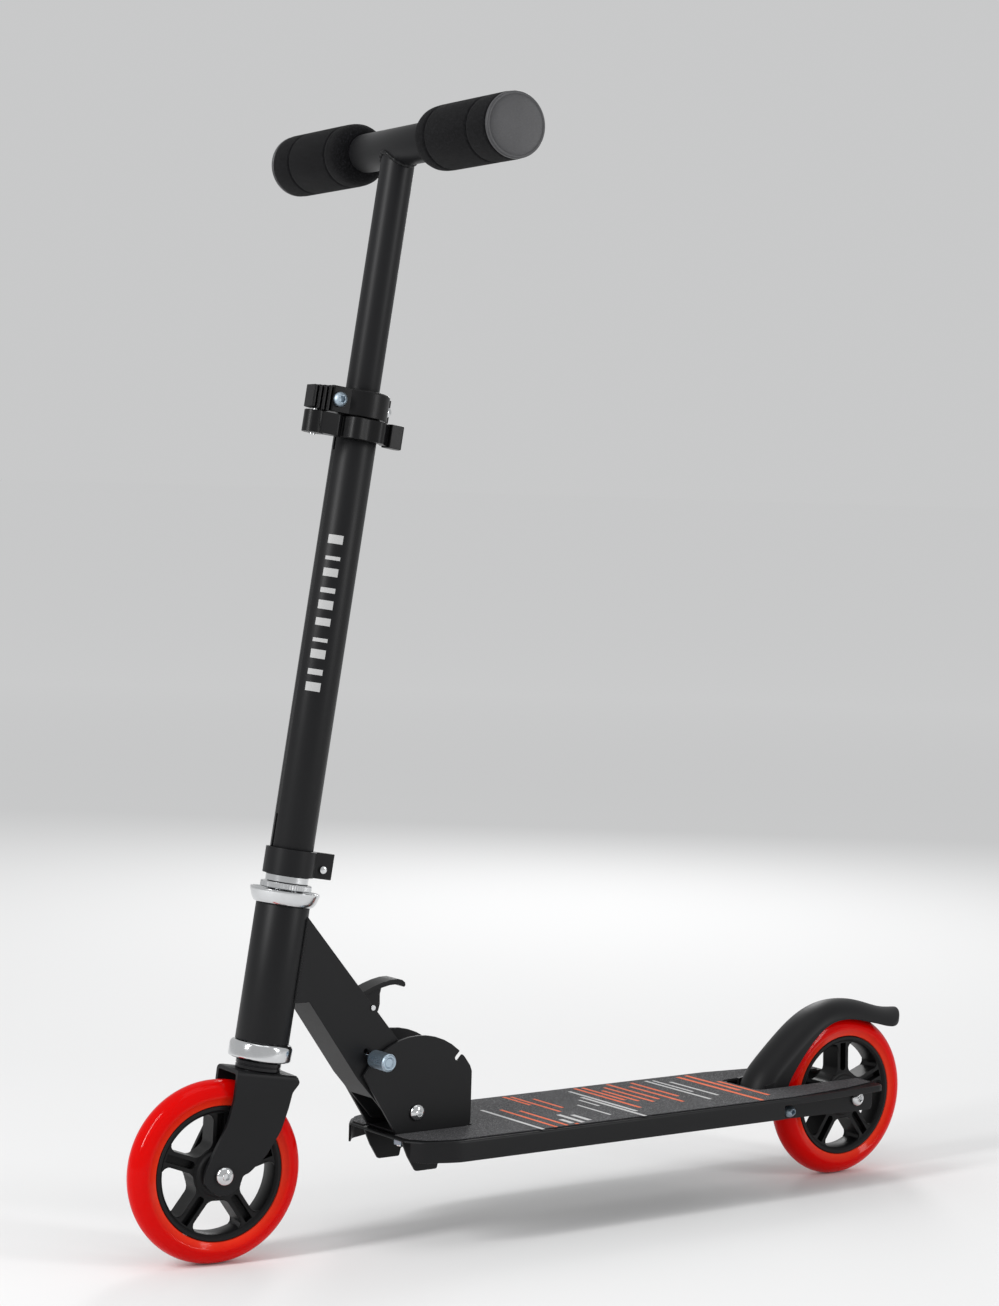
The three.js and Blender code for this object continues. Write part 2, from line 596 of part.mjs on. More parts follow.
// ---------------------------------------------------------------- fork and steering column
function forkLegOutline() {
  const { eye, top } = fork;
  const eyeArc = [-50, -85, -120, -155, -185].map((turn) => [
    trail + eye * Math.cos(turn * degree), axleS + eye * Math.sin(turn * degree), 6,
  ]);
  return [
    [26, top, 3], [25.2, top - 24, 30], [28, top - 44, 30], [34, axleS + 21.4, 20],
    [trail + eye, axleS + 2, 12], [trail + eye * 0.94, axleS - 8, 6], ...eyeArc,
    [trail - 21, axleS + 3.4, 10], [-9.5, axleS + 18.4, 14], [-19, top - 44, 30],
    [-22.5, top - 26, 20], [-24, top - 13.5, 6], [-29, top - 5.5, 3], [-26, top, 3],
  ];
}

function forkSolid() {
  const inner = fork.half - fork.wall;
  const legs = sidePlate(forkLegOutline(), -fork.half, fork.half, 2);
  const bent = extruded(outline([
    [-fork.half, 0], [fork.half, 0], [fork.half, fork.top, fork.bend],
    [-fork.half, fork.top, fork.bend],
  ]), -60, 60).rotate([90, 0, 90]);
  const under = fork.top - fork.crown;
  const gap = extruded(outline([
    [-inner, 0], [inner, 0], [inner, under, 2], [-inner, under, 2],
  ]), -70, 70).rotate([90, 0, 90]);
  const stem = ring(steerer.radius, steerer.bore, under + 0.5, steerer.top);
  const axleBore = crossHole(trail, axleS, axleRadius);
  return legs.intersect(bent).subtract(gap).add(stem).subtract(axleBore);
}

function addSteering() {
  add(steeringGroup, "fork", forkSolid(), black);
  const raceLow = fork.top + touchGap;
  const fit = steerer.radius + touchGap;
  const raceTop = raceLow + race.height;
  const crownRace = turned([
    [fit, raceLow], [race.radius, raceLow], [race.radius, raceTop - 1.5],
    [race.radius - 1.5, raceTop], [fit, raceTop],
  ]);
  add(steeringGroup, "crown_race", crownRace, black);
  const nutLow = locknut.bottom;
  const neckLow = nutLow + locknut.knurl;
  const neckRadius = column.radius - 0.3;
  const nut = turned([
    [fit, nutLow], [locknutRadius - 0.4, nutLow], [locknutRadius, nutLow + 1],
    [locknutRadius, neckLow - 0.8], [locknutRadius - 0.8, neckLow], [neckRadius, neckLow],
    [neckRadius, neckLow + locknut.neck], [fit, neckLow + locknut.neck],
  ]);
  add(steeringGroup, "headset_nut", nut, steel);
  add(steeringGroup, "lower_column", columnSolid(), black);
  addBand();
}

function columnSolid() {
  const tube = ring(column.radius, column.bore, column.bottom, column.top);
  const reach = column.radius + 10;
  const { half, length } = slit;
  const clampSlit = block(0, reach, -half, half, column.top - length, column.top + 5);
  const bandSlit = block(0, reach, -half, half, column.bottom - 5, column.bottom + length);
  return tube.subtract(clampSlit).subtract(bandSlit);
}

// The clamp band at the foot of the column, with its pinched ear to the rear.
function addBand() {
  const inner = column.radius + touchGap;
  const top = column.bottom + band.height;
  const ears = outline([
    [-inner - 1, -band.earHalf], [-inner - 1, band.earHalf], [-band.earReach, band.earHalf, 1],
    [-band.earReach, -band.earHalf, 1],
  ]);
  let made = ring(inner + band.wall, inner, column.bottom, top);
  made = made.add(extruded(ears, column.bottom, top));
  made = made.subtract(rod(inner, column.bottom - 5, top + 5));
  made = made.subtract(block(-60, -10, -0.5, 0.5, column.bottom - 5, top + 5));
  const boltS = column.bottom + band.height * 0.36;
  const hole = alongY(rod(2.3, -20, 20, 16)).translate([-band.boltX, 0, boltS]);
  add(steeringGroup, "column_band", made.subtract(hole), black);
  const reach = band.earHalf + touchGap;
  const rivet = turned([
    [0, -reach - 2], [3, -reach - 2], [3.4, -reach], [2, -reach], [2, reach], [3.4, reach],
    [3, reach + 1.6], [1.6, reach + 2.4], [0, reach + 2.4],
  ], 20);
  add(steeringGroup, "band_bolt", alongY(rivet).translate([-band.boltX, 0, boltS]), steel);
}

// ---------------------------------------------------------------- height clamp
function clampCollarSolid() {
  const { bottom, top, earHalf } = clamp;
  const inner = column.radius + touchGap;
  const outer = inner + clamp.wall;
  const lip = column.top + touchGap;
  const body = turned([
    [inner, bottom], [outer, bottom], [outer, top - 1.5], [outer - 1.5, top],
    [bar.tube + runGap, top], [bar.tube + runGap, lip], [inner, lip],
  ]);
  const ears = extruded(outline([
    [inner - 4, -earHalf, 1], [clamp.front, -earHalf, 3], [clamp.front, earHalf + 2.6, 2],
    [inner - 2.6, earHalf + 2.6, 2],
  ]), bottom, top - 0.5);
  const ribbed = [0, 1, 2, 3].map((i) => {
    const front = clamp.front + 1.6 + 4.2 * i;
    const drop = i * 0.5;
    return block(front, front + 2.5, 1.6, earHalf + 3.4, bottom - 1 + drop, top - 1.5 - drop);
  });
  const spine = block(clamp.front - 1, clamp.front + 16, 3.5, earHalf, bottom, top - 3);
  const lug = extruded(outline([
    [-outer + 2, -10.5, 1], [-outer - 8.4, -10.5, 1.5], [-outer - 8.4, -7.5, 1.5],
    [-outer + 2, -7.5, 1],
  ]), bottom + 1.5, top - 1);
  let made = body.add(ears).add(spine).add(lug);
  for (const rib of ribbed) made = made.add(rib);
  made = made.subtract(rod(inner, bottom - 5, lip));
  made = made.subtract(rod(bar.tube + runGap, bottom - 5, top + 5));
  made = made.subtract(block(0, clamp.front + 27, -clamp.slit / 2, clamp.slit / 2, bottom - 5, top + 5));
  const boltHoleCut = alongY(rod(3.3, -40, 40)).translate([clamp.boltX, 0, clamp.boltS]);
  const rivetHole = alongY(rod(2.3, -40, 0, 16)).translate([-clamp.boltX, 0, clamp.boltS]);
  const leverPinHole = rod(clampLever.pinRadius + touchGap, bottom - 5, top + 5);
  made = made.subtract(boltHoleCut).subtract(rivetHole);
  return made.subtract(leverPinHole.translate([clampLever.pinX, clampLever.pinY, 0]));
}

// A curved lever with a scalloped finger side that wraps the column and closes the collar.
function clampLeverSolid() {
  const { bottom, top, pinX, pinY, inner } = clampLever;
  const steps = 26;
  const [from, to] = [22, 158];
  const arcPoint = (radius, degrees) => [
    radius * Math.cos(degrees * degree), radius * Math.sin(degrees * degree),
  ];
  const scallops = [...Array(steps + 1).keys()].map((i) => {
    const degrees = from + ((to - from) * i) / steps;
    return arcPoint(inner + 6.2 + 1.7 * Math.cos((degrees - 62) * degree * 7), degrees);
  });
  const insideArc = [...Array(13).keys()].map((i) => arcPoint(inner, to - ((to - from) * i) / 12));
  const arm = extruded(outline([...scallops, ...insideArc]), bottom, top);
  const hub = rod(8.6, bottom - 0.5, top).translate([pinX, pinY, 0]);
  const neck = extruded(outline([
    [inner - 1.5, 7.5, 1], [pinX - 8, 1.5, 2], [pinX + 2, 6, 2], [pinX - 2, 16.4, 3],
    [pinX - 18, 17, 3], [inner - 0.4, 13, 1],
  ]), bottom, top);
  const tab = extruded(outline([
    [-inner - 1.1, 6, 1], [-inner - 13.6, 3, 2], [-inner - 17.1, 7, 2], [-inner - 15.1, 14.5, 2],
    [-inner - 3.6, 15.5, 1],
  ]), bottom - 1, top + 0.8);
  const made = arm.add(hub).add(neck).add(tab).subtract(rod(inner, bottom - 5, top + 5));
  const pinHole = rod(clampLever.pinRadius + touchGap, bottom - 5, top + 5);
  return made.subtract(pinHole.translate([pinX, pinY, 0]));
}

function addClamp() {
  add(steeringGroup, "clamp_collar", clampCollarSolid(), black);
  add(steeringGroup, "clamp_lever", clampLeverSolid(), black);
  const pin = rod(clampLever.pinRadius, clampLever.bottom - 2, clamp.top - 5);
  const pinAt = [clampLever.pinX, clampLever.pinY, 0];
  add(steeringGroup, "clamp_lever_pin", pin.translate(pinAt), steel);
  const seat = clamp.earHalf + 2.6 + touchGap;
  const nutHeight = 5;
  const far = clamp.earHalf + touchGap;
  const bolt = alongY(boltSolid(6, 5, 3, seat + far + nutHeight + 1, 5));
  add(steeringGroup, "clamp_bolt", bolt.translate([clamp.boltX, seat, clamp.boltS]), zinc);
  const nut = alongY(nutSolid(10, nutHeight, 3 + touchGap));
  add(steeringGroup, "clamp_nut", nut.translate([clamp.boltX, -far - nutHeight, clamp.boltS]), zinc);
  const rivet = turned([
    [0, -10.5 - 3], [3.4, -13], [3.4, -10.5 - touchGap], [2, -10.5 - touchGap],
    [2, -7.5 + touchGap], [4.8, -7.5 + touchGap], [4.2, -4.6], [2.2, -3.2], [0, -3],
  ], 20);
  add(steeringGroup, "clamp_rivet", alongY(rivet).translate([-clamp.boltX, 0, clamp.boltS]), steel);
}

// ---------------------------------------------------------------- handlebar
function gripSolid() {
  const { radius, inner, outer, groove } = grip;
  const bore = handle.radius + touchGap;
  const profile = [
    [bore, inner], [radius - 8, inner], [radius - 3, inner + 3.5], [radius, inner + 12],
  ];
  for (const at of grip.grooves) {
    profile.push([radius, at - 1.2], [radius - groove, at], [radius, at + 1.2]);
  }
  profile.push([radius, outer - 1], [radius - 1, outer], [bore, outer]);
  return alongY(turned(profile));
}

function capSolid() {
  const base = grip.outer + touchGap;
  const plug = handle.bore - touchGap;
  return alongY(turned([
    [0, base - cap.plug], [plug, base - cap.plug], [plug, base], [cap.radius - 0.8, base],
    [cap.radius, base + 1], [cap.radius, base + cap.thick - 1.4],
    [cap.radius - 1.4, base + cap.thick - 0.2], [cap.radius - 9, base + cap.thick + 0.3],
    [0, base + cap.thick + 0.5],
  ]));
}

function addHandlebar() {
  const saddle = alongY(rod(bar.sleeve + touchGap, -80, 80)).translate([0, 0, bar.s]);
  const mast = ring(bar.tube, bar.tubeBore, bar.tubeBottom, bar.s).subtract(saddle);
  add(steeringGroup, "upper_tube", mast, black);
  const place = (solid) => solid.translate([0, 0, bar.s]);
  const sleeveBore = handle.radius + touchGap;
  const sleeve = alongY(ring(bar.sleeve, sleeveBore, -bar.sleeveHalf, bar.sleeveHalf));
  add(steeringGroup, "cross_sleeve", place(sleeve), black);
  const tube = alongY(ring(handle.radius, handle.bore, -handle.end, handle.end));
  add(steeringGroup, "handle_tube", place(tube), steel);
  const sides = [["left", (solid) => solid], ["right", (solid) => solid.mirror([0, 1, 0])]];
  for (const [side, turn] of sides) {
    add(steeringGroup, `grip_${side}`, place(turn(gripSolid())), foam);
    add(steeringGroup, `end_cap_${side}`, place(turn(capSolid())), capGrey);
  }
}

// ---------------------------------------------------------------- rear brake
function overTyre([degrees, gap, corner]) {
  const reach = wheel.radius + gap;
  const turn = degrees * degree;
  return [reach * Math.cos(turn), wheel.radius + reach * Math.sin(turn), corner];
}

// The brake is an arched fender on a cross bolt: standing on it presses it on the tyre.
// Its lines are [degrees round the rear axle, gap over the tyre, corner radius].
const crownLine = [
  [0.8, 37.5], [8.2, 36.1], [18.1, 30.6], [27.8, 23], [40.3, 18], [52.7, 16.1], [64.4, 16.1],
  [75.3, 15.6], [86, 14.5], [98, 13.7], [108.3, 13.4], [117.4, 14.5], [125.9, 19.5], [134.6, 30],
].map(overTyre);
const skirtLine = [
  [135, 9.5, 6], [122.4, 0.3], [108.8, -3.5], [97.4, -3.2], [84, -0.6], [71.2, 1.2], [60.3, 0.6],
  [43.8, -1], [24.6, 0.8], [14.8, 4, 8], [5.6, 3.9, 6], [3.9, 37.8],
].map(overTyre);

function archSection(halfWidth, inset) {
  const half = halfWidth - inset;
  const steps = 6;
  const arch = [...Array(steps + 1).keys()].map((i) => {
    const turn = (i * Math.PI) / steps;
    return [half * Math.cos(turn), -inset - 14 * (1 - Math.sin(turn)) * (half / halfWidth)];
  });
  return outline([...arch, [-half, -30], [half, -30]]);
}

function fenderSolid() {
  const path = new THREE.CatmullRomCurve3(crownLine.map(([x, z]) => new THREE.Vector3(x, 0, z)));
  const sweep = (section) => toSolid(new THREE.ExtrudeGeometry(section, {
    steps: 20, extrudePath: path, curveSegments: 2,
  }));
  const outer = sweep(archSection(brake.half, 0));
  const inner = sweep(archSection(brake.half, brake.wall));
  const side = [
    ...crownLine.slice(1).map(([x, z]) => [x + 8, z + 14]),
    [crownLine.at(-1)[0] - 18, brake.z + 81], ...skirtLine,
  ];
  const profile = sidePlate([[brake.x + 42.5, brake.z + 11], ...side], -40, 40);
  const tip = crownLine.at(-1)[0] + 2;
  const plan = extruded(outline([
    [brake.x + 60, -30], [brake.x + 60, 30], [tip + 30, 30, 4], [tip + 18, brake.half, 8],
    [tip, 14, 14], [tip, -14, 14], [tip + 18, -brake.half, 8], [tip + 30, -30, 4],
  ]), brake.z - 9, brake.z + 131);
  return outer.subtract(inner).intersect(profile).intersect(plan);
}

function fenderEar() {
  const low = brake.half - brake.wall - 0.4;
  const shape = [
    [brake.x - brake.eye, brake.z - 4, 5], [brake.x + 4, brake.z - brake.eye, 6],
    [brake.x + 10, brake.z + 3, 6], [brake.x + 19.5, brake.z + 13, 4],
    [brake.x + 19.5, brake.z + 23, 3], [brake.x - 1.5, brake.z + 27, 3],
    [brake.x - 5.5, brake.z + 15, 4],
  ];
  return sidePlate(shape, low, low + brake.earWall);
}

function springSolid() {
  const coils = 4;
  const wire = 0.8;
  const mean = brake.boltRadius + touchGap + wire + 0.8;
  const half = 8;
  class Coil extends THREE.Curve {
    getPoint(t, target = new THREE.Vector3()) {
      const turn = t * coils * 2 * Math.PI;
      return target.set(mean * Math.cos(turn), half * (2 * t - 1), mean * Math.sin(turn));
    }
  }
  const section = new THREE.Shape().absarc(0, 0, wire, 0, 2 * Math.PI);
  return toSolid(new THREE.ExtrudeGeometry(section, {
    steps: 44, extrudePath: new Coil(), curveSegments: 3,
  }));
}

function addBrake() {
  const ear = fenderEar();
  const fender = fenderSolid().add(ear).add(ear.mirror([0, 1, 0]));
  const bored = fender.subtract(crossHole(brake.x, brake.z, brake.boltRadius));
  add(scooter, "brake_fender", bored, black);
  const underHead = channel.half + touchGap;
  const nutHeight = 5;
  const length = 2 * underHead + nutHeight + 1;
  const bolt = alongY(boltSolid(5.2, 6.5, brake.boltRadius, length, 4));
  add(scooter, "brake_pivot_bolt", bolt.translate([brake.x, underHead, brake.z]), zinc);
  const nut = alongY(nutSolid(10, nutHeight, brake.boltRadius + touchGap));
  add(scooter, "brake_pivot_nut", nut.translate([brake.x, -underHead - nutHeight, brake.z]), zinc);
  add(scooter, "brake_spring", springSolid().translate([brake.x, 0, brake.z]), steel);
}

// ---------------------------------------------------------------- assembly
add(scooter, "chassis_channel", channelSolid(), black);
add(scooter, "deck_pan", deckPanSolid(), black);
add(scooter, "grip_tape", gripTapeSolid(), gritty);
add(scooter, "fold_bracket", bracketSolid(), black);
addBracketFasteners();
addHingeBolt();
add(scooter, "down_tube", downTubeSolid(), black);
addHeadset();
addLock();
addReleaseLever();
addSteering();
addClamp();
addHandlebar();
addWheel(frontWheelGroup, "front");
addAxle(steeringGroup, trail, axleS, "front", fork.half - fork.wall, fork.half, 7.6);
addWheel(rearWheelGroup, "rear");
addAxle(scooter, 0, wheel.radius, "rear", channel.half - channel.wall, channel.half, 6.8);
addBrake();

// The origin is the middle of the footprint.
scooter.updateMatrixWorld(true);
const box = new THREE.Box3().setFromObject(scooter, true);
const middle = box.getCenter(new THREE.Vector3());
scooter.position.set(-middle.x, -middle.y, -box.min.z);

export default scooter;
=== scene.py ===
"""Looks for a folding kick scooter, built round its CAD frame.

Pressed and moulded steel keeps its CAD shape with broken edges. Turned pieces, wheels, grips,
fender, welds and prints are modelled here at full smoothness. Lengths are in metres.
"""

import json
import math

import bmesh
import bpy
from bpy.props import FloatProperty, FloatVectorProperty, IntProperty, PointerProperty
from mathutils import Matrix, Vector


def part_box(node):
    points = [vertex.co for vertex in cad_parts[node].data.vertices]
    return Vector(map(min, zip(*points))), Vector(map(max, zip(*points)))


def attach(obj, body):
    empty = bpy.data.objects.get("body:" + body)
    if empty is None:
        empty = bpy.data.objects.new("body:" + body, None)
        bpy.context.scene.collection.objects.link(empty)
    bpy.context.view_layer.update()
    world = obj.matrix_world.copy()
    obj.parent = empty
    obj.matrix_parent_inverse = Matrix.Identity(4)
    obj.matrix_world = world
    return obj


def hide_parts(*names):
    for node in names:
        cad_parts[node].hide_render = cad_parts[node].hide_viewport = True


bl_info = {
    "name": "Kick Scooter",
    "version": (1, 0, 0),
    "blender": (4, 5, 0),
    "location": "View3D > Sidebar > Scooter",
    "description": "Models the visible surfaces and finishes of a folding kick scooter",
    "category": "Object",
}

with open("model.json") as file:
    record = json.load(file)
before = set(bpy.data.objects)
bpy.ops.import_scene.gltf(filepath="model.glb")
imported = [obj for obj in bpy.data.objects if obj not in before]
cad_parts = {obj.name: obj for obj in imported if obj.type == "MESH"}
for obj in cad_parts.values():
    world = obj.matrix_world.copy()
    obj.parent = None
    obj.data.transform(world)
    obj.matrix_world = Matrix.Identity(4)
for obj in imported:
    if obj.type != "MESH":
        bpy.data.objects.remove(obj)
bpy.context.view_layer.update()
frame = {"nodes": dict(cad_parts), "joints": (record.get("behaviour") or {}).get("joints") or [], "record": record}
CAD = frame["nodes"]
JOINTS = {joint["name"]: joint for joint in frame["joints"]}
BODY_OF = {
    node: body
    for body, nodes in frame["record"]["behaviour"]["bodies"].items()
    for node in nodes
}
MM = 0.001


# ------------------------------------------------------------------ places in the frame
class Axis:
    """A line with a right-handed frame of its own: z along the line, x towards a side."""

    def __init__(self, origin, along, side):
        z = Vector(along).normalized()
        y = z.cross(Vector(side)).normalized()
        rotation = Matrix((y.cross(z), y, z)).transposed()
        self.matrix = Matrix.Translation(Vector(origin)) @ rotation.to_4x4()
        self.inverse = self.matrix.inverted()

    def at(self, x, y, z):
        return self.matrix @ Vector((x, y, z))

    def measure(self, node):
        """Lowest and highest place along the line, and least and greatest radius, of a CAD node."""
        points = [self.inverse @ vertex.co for vertex in CAD[node].data.vertices]
        heights = [point.z for point in points]
        radii = [point.xy.length for point in points]
        return min(heights), max(heights), min(radii), max(radii)


def middle(node):
    low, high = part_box(node)
    return (low + high) / 2


LEFT = Vector(JOINTS["front_wheel_spin"]["axis"])
UP = Vector(JOINTS["steer"]["axis"])
STEERING = Axis(JOINTS["steer"]["pos_m"], UP, LEFT.cross(UP))
HEAD = Axis(JOINTS["steer"]["pos_m"], UP, (1, 0, 0))
BAR = Axis(middle("handle_tube"), LEFT, LEFT.cross(UP))
FRONT_WHEEL = Axis(JOINTS["front_wheel_spin"]["pos_m"], LEFT, LEFT.cross(UP))
REAR_WHEEL = Axis(JOINTS["rear_wheel_spin"]["pos_m"], (0, 1, 0), (1, 0, 0))


# ------------------------------------------------------------------ sizes and colours
class ScooterSizes(bpy.types.PropertyGroup):
    """Sizes of the details that are added to the CAD frame."""

    round_steps: IntProperty(
        name="Round steps", description="Faces round a turned piece", default=96, min=24)
    edge_break: FloatProperty(
        name="Edge break", description="Rounding on pressed and cut steel edges",
        default=0.45 * MM, unit="LENGTH", precision=5)
    weld_radius: FloatProperty(
        name="Weld bead", description="Radius of a weld bead",
        default=1.7 * MM, unit="LENGTH", precision=5)
    print_height: FloatProperty(
        name="Print height", description="How proud printed bars stand of their surface",
        default=0.07 * MM, unit="LENGTH", precision=5)
    grip_groove: FloatProperty(
        name="Grip groove", description="Depth of the grooves round the foam grips",
        default=1.1 * MM, unit="LENGTH", precision=5)
    fender_wall: FloatProperty(
        name="Fender wall", description="Thickness of the brake fender's shell",
        default=2.4 * MM, unit="LENGTH", precision=5)


class ScooterColours(bpy.types.PropertyGroup):
    """Base colours of the finishes."""

    paint: FloatVectorProperty(
        name="Paint", description="Powder coat on the steel",
        default=(0.0062, 0.0063, 0.0070), subtype="COLOR", min=0, max=1)
    tyre: FloatVectorProperty(
        name="Tyre", description="Cast polyurethane tread",
        default=(0.60, 0.0012, 0.0006), subtype="COLOR", min=0, max=1)
    # The tyre glow colour is a painted glow: paler orange standing in for light that shows through the thin tread
    # beside the core.
    tyre_glow: FloatVectorProperty(
        name="Tyre edge", description="Tread where it thins out beside the core",
        default=(0.80, 0.05, 0.018), subtype="COLOR", min=0, max=1)
    moulding: FloatVectorProperty(
        name="Moulding", description="Black nylon of the wheel cores and the clamp",
        default=(0.0042, 0.0042, 0.0046), subtype="COLOR", min=0, max=1)
    foam: FloatVectorProperty(
        name="Foam", description="Closed-cell foam of the grips",
        default=(0.0030, 0.0030, 0.0034), subtype="COLOR", min=0, max=1)
    cap: FloatVectorProperty(
        name="Cap", description="Grey plastic of the end caps",
        default=(0.05, 0.05, 0.053), subtype="COLOR", min=0, max=1)
    grit: FloatVectorProperty(
        name="Grit", description="Abrasive deck sheet",
        default=(0.026, 0.026, 0.028), subtype="COLOR", min=0, max=1)
    orange: FloatVectorProperty(
        name="Orange print", description="Orange bars on the deck sheet",
        default=(0.72, 0.13, 0.045), subtype="COLOR", min=0, max=1)
    silver: FloatVectorProperty(
        name="Silver print", description="Light bars on the deck sheet and the column",
        default=(0.5, 0.5, 0.5), subtype="COLOR", min=0, max=1)


# ------------------------------------------------------------------ shader expressions
class Value:
    """A node's output that Python's operators carry on with Math nodes."""

    def __init__(self, finish, socket):
        self.finish = finish
        self.socket = socket

    def math(self, operation, *others):
        return self.finish.node("ShaderNodeMath", {"operation": operation}, (self, *others))

    def __add__(self, other):
        return self.math("ADD", other)

    def __sub__(self, other):
        return self.math("SUBTRACT", other)

    def __rsub__(self, other):
        return self.finish.node("ShaderNodeMath", {"operation": "SUBTRACT"}, (other, self))

    def __mul__(self, other):
        return self.math("MULTIPLY", other)

    def __pow__(self, other):
        return self.math("POWER", other)

    __radd__ = __add__
    __rmul__ = __mul__

    def ramp(self, low, high):
        """0 below low, 1 above high and a straight line between."""
        return self.finish.node(
            "ShaderNodeMapRange", {}, {"Value": self, "From Min": low, "From Max": high})


class Finish:
    """A material under construction, with one Principled shader."""

    def __init__(self, name, **sockets):
        self.material = bpy.data.materials.new(name)
        self.material.use_nodes = True
        self.tree = self.material.node_tree
        self.tree.nodes.clear()
        self.shader = self.tree.nodes.new("ShaderNodeBsdfPrincipled")
        output = self.tree.nodes.new("ShaderNodeOutputMaterial")
        self.tree.links.new(self.shader.outputs["BSDF"], output.inputs["Surface"])
        plain_names = {s.name.lower().replace(" ", "_"): s.name for s in self.shader.inputs}
        for key, setting in sockets.items():
            self.set(self.shader, plain_names[key], setting)

    def set(self, node, key, setting):
        """Sets or links a socket, found by number, name or identifier."""
        if isinstance(key, int):
            socket = node.inputs[key]
        else:
            socket = next(s for s in node.inputs if key in (s.name, s.identifier) and s.enabled)
        if isinstance(setting, Value):
            self.tree.links.new(setting.socket, socket)
        elif socket.type == "RGBA":
            socket.default_value = (*setting[:3], 1)
        else:
            socket.default_value = setting

    def node(self, kind, settings, inputs, output=0):
        """Makes a node, gives it its settings and then its inputs, and returns an output."""
        node = self.tree.nodes.new(kind)
        for key, setting in settings.items():
            setattr(node, key, setting)
        pairs = inputs.items() if isinstance(inputs, dict) else enumerate(inputs)
        for key, setting in pairs:
            self.set(node, key, setting)
        sockets = [socket for socket in node.outputs if socket.enabled]
        found = sockets[output] if isinstance(output, int) else node.outputs[output]
        return Value(self, found)

    def place(self, axis=None):
        """Object coordinates, in an axis' own frame where one is given."""
        here = self.node("ShaderNodeTexCoord", {}, {}, "Object")
        if axis is None:
            return here
        settings = {"vector_type": "POINT"}
        inverse = axis.inverse
        inputs = {"Vector": here, "Location": inverse.to_translation(),
                  "Rotation": inverse.to_euler()}
        return self.node("ShaderNodeMapping", settings, inputs)

    def reach(self, axis=None):
        """Distance from an axis, or from Z."""
        place = {"Vector": self.place(axis)}
        x, y = (self.node("ShaderNodeSeparateXYZ", {}, place, i) for i in (0, 1))
        return (x * x + y * y) ** 0.5

    def noise(self, scale, detail=2, roughness=0.5):
        inputs = {"Vector": self.place(), "Scale": scale, "Detail": detail,
                  "Roughness": roughness}
        return self.node("ShaderNodeTexNoise", {}, inputs)

    def cells(self, scale):
        return self.node(
            "ShaderNodeTexVoronoi", {}, {"Vector": self.place(), "Scale": scale})

    def mix(self, factor, first, second):
        inputs = {"Factor_Float": factor, "A_Color": first, "B_Color": second}
        return self.node("ShaderNodeMix", {"data_type": "RGBA"}, inputs)

    def bump(self, height, depth):
        """Feeds Normal with a height from 0 to 1 that stands depth metres."""
        inputs = {"Height": height, "Distance": depth, "Strength": 1.0}
        self.set(self.shader, "Normal", self.node("ShaderNodeBump", {}, inputs))

    def feed(self, key, value):
        self.set(self.shader, key, value)


def shade(colour, factor):
    """A colour made darker or lighter."""
    return tuple(min(1.0, channel * factor) for channel in colour)


# ------------------------------------------------------------------ finishes
def powder_coat(name, colour, roughness=0.42, grain=0.03 * MM):
    """Satin black powder coat: a fine orange peel, faint clouding and edges painted lighter as a highlight."""
    finish = Finish(name, specular_ior_level=0.2)
    cloud = finish.noise(14, 3)
    peel = finish.noise(1500, 2)
    # Edges found by Pointiness are painted lighter: a painted highlight along them.
    edge = finish.node("ShaderNodeNewGeometry", {}, {}, "Pointiness").ramp(0.53, 0.62)
    body = finish.mix(cloud, shade(colour, 0.86), shade(colour, 1.16))
    finish.feed("Base Color", finish.mix(edge * 0.35, body, shade(colour, 2.6)))
    finish.feed("Roughness", cloud * 0.1 + peel * 0.06 + (roughness - 0.08))
    finish.bump(peel, grain)
    return finish.material


def moulded_plastic(name, colour, roughness=0.45):
    """Injection-moulded nylon with a fine spark-eroded grain."""
    finish = Finish(name, specular_ior_level=0.2)
    cloud = finish.noise(40, 2)
    grain = finish.noise(2600, 2, 0.7)
    finish.feed("Base Color", finish.mix(cloud, shade(colour, 0.85), shade(colour, 1.2)))
    finish.feed("Roughness", grain * 0.16 + (roughness - 0.08))
    finish.bump(grain, 0.03 * MM)
    return finish.material


def cast_urethane(name, axis, colour, glow_colour, core_radius, tread_radius):
    """Clear-looking red polyurethane: a painted orange glow of light through the thin tread beside the core, with
    flow marks and a gloss skin.
    """
    finish = Finish(
        name, subsurface_weight=0.05, subsurface_scale=3 * MM, subsurface_radius=(1.0, 0.1, 0.04),
        specular_ior_level=0.07, coat_weight=0.05, coat_roughness=0.03)
    radius = finish.reach(axis)
    # Painted glow: towards the core the tread is painted paler orange, standing in for light through the thin
    # urethane.
    painted_glow = 1 - radius.ramp(core_radius, core_radius + 0.45 * (tread_radius - core_radius))
    cloud = finish.noise(22, 3)
    mottle = finish.noise(260, 2)
    side = finish.mix(painted_glow * (cloud * 0.7 + 0.45), colour, glow_colour)
    finish.feed("Base Color", finish.mix(mottle.ramp(0.5, 0.9) * 0.25, side, shade(colour, 0.8)))
    finish.feed("Roughness", mottle * 0.06 + 0.09)
    finish.bump(finish.noise(55, 2), 0.06 * MM)
    return finish.material


def grip_foam(name, colour):
    """Closed-cell foam: a velvet of tiny cells with a few deeper pores."""
    finish = Finish(name, roughness=0.92, specular_ior_level=0.06, sheen_weight=0.04,
                    sheen_roughness=0.45)
    cells = finish.cells(1900)
    pores = finish.noise(900, 3, 0.65)
    blotch = finish.noise(45, 3)
    dark = finish.mix(blotch, shade(colour, 0.85), shade(colour, 1.25))
    finish.feed("Base Color", finish.mix(pores.ramp(0.5, 0.68), dark, shade(colour, 5)))
    finish.bump(cells * 0.6 + pores * 0.6, 0.4 * MM)
    return finish.material


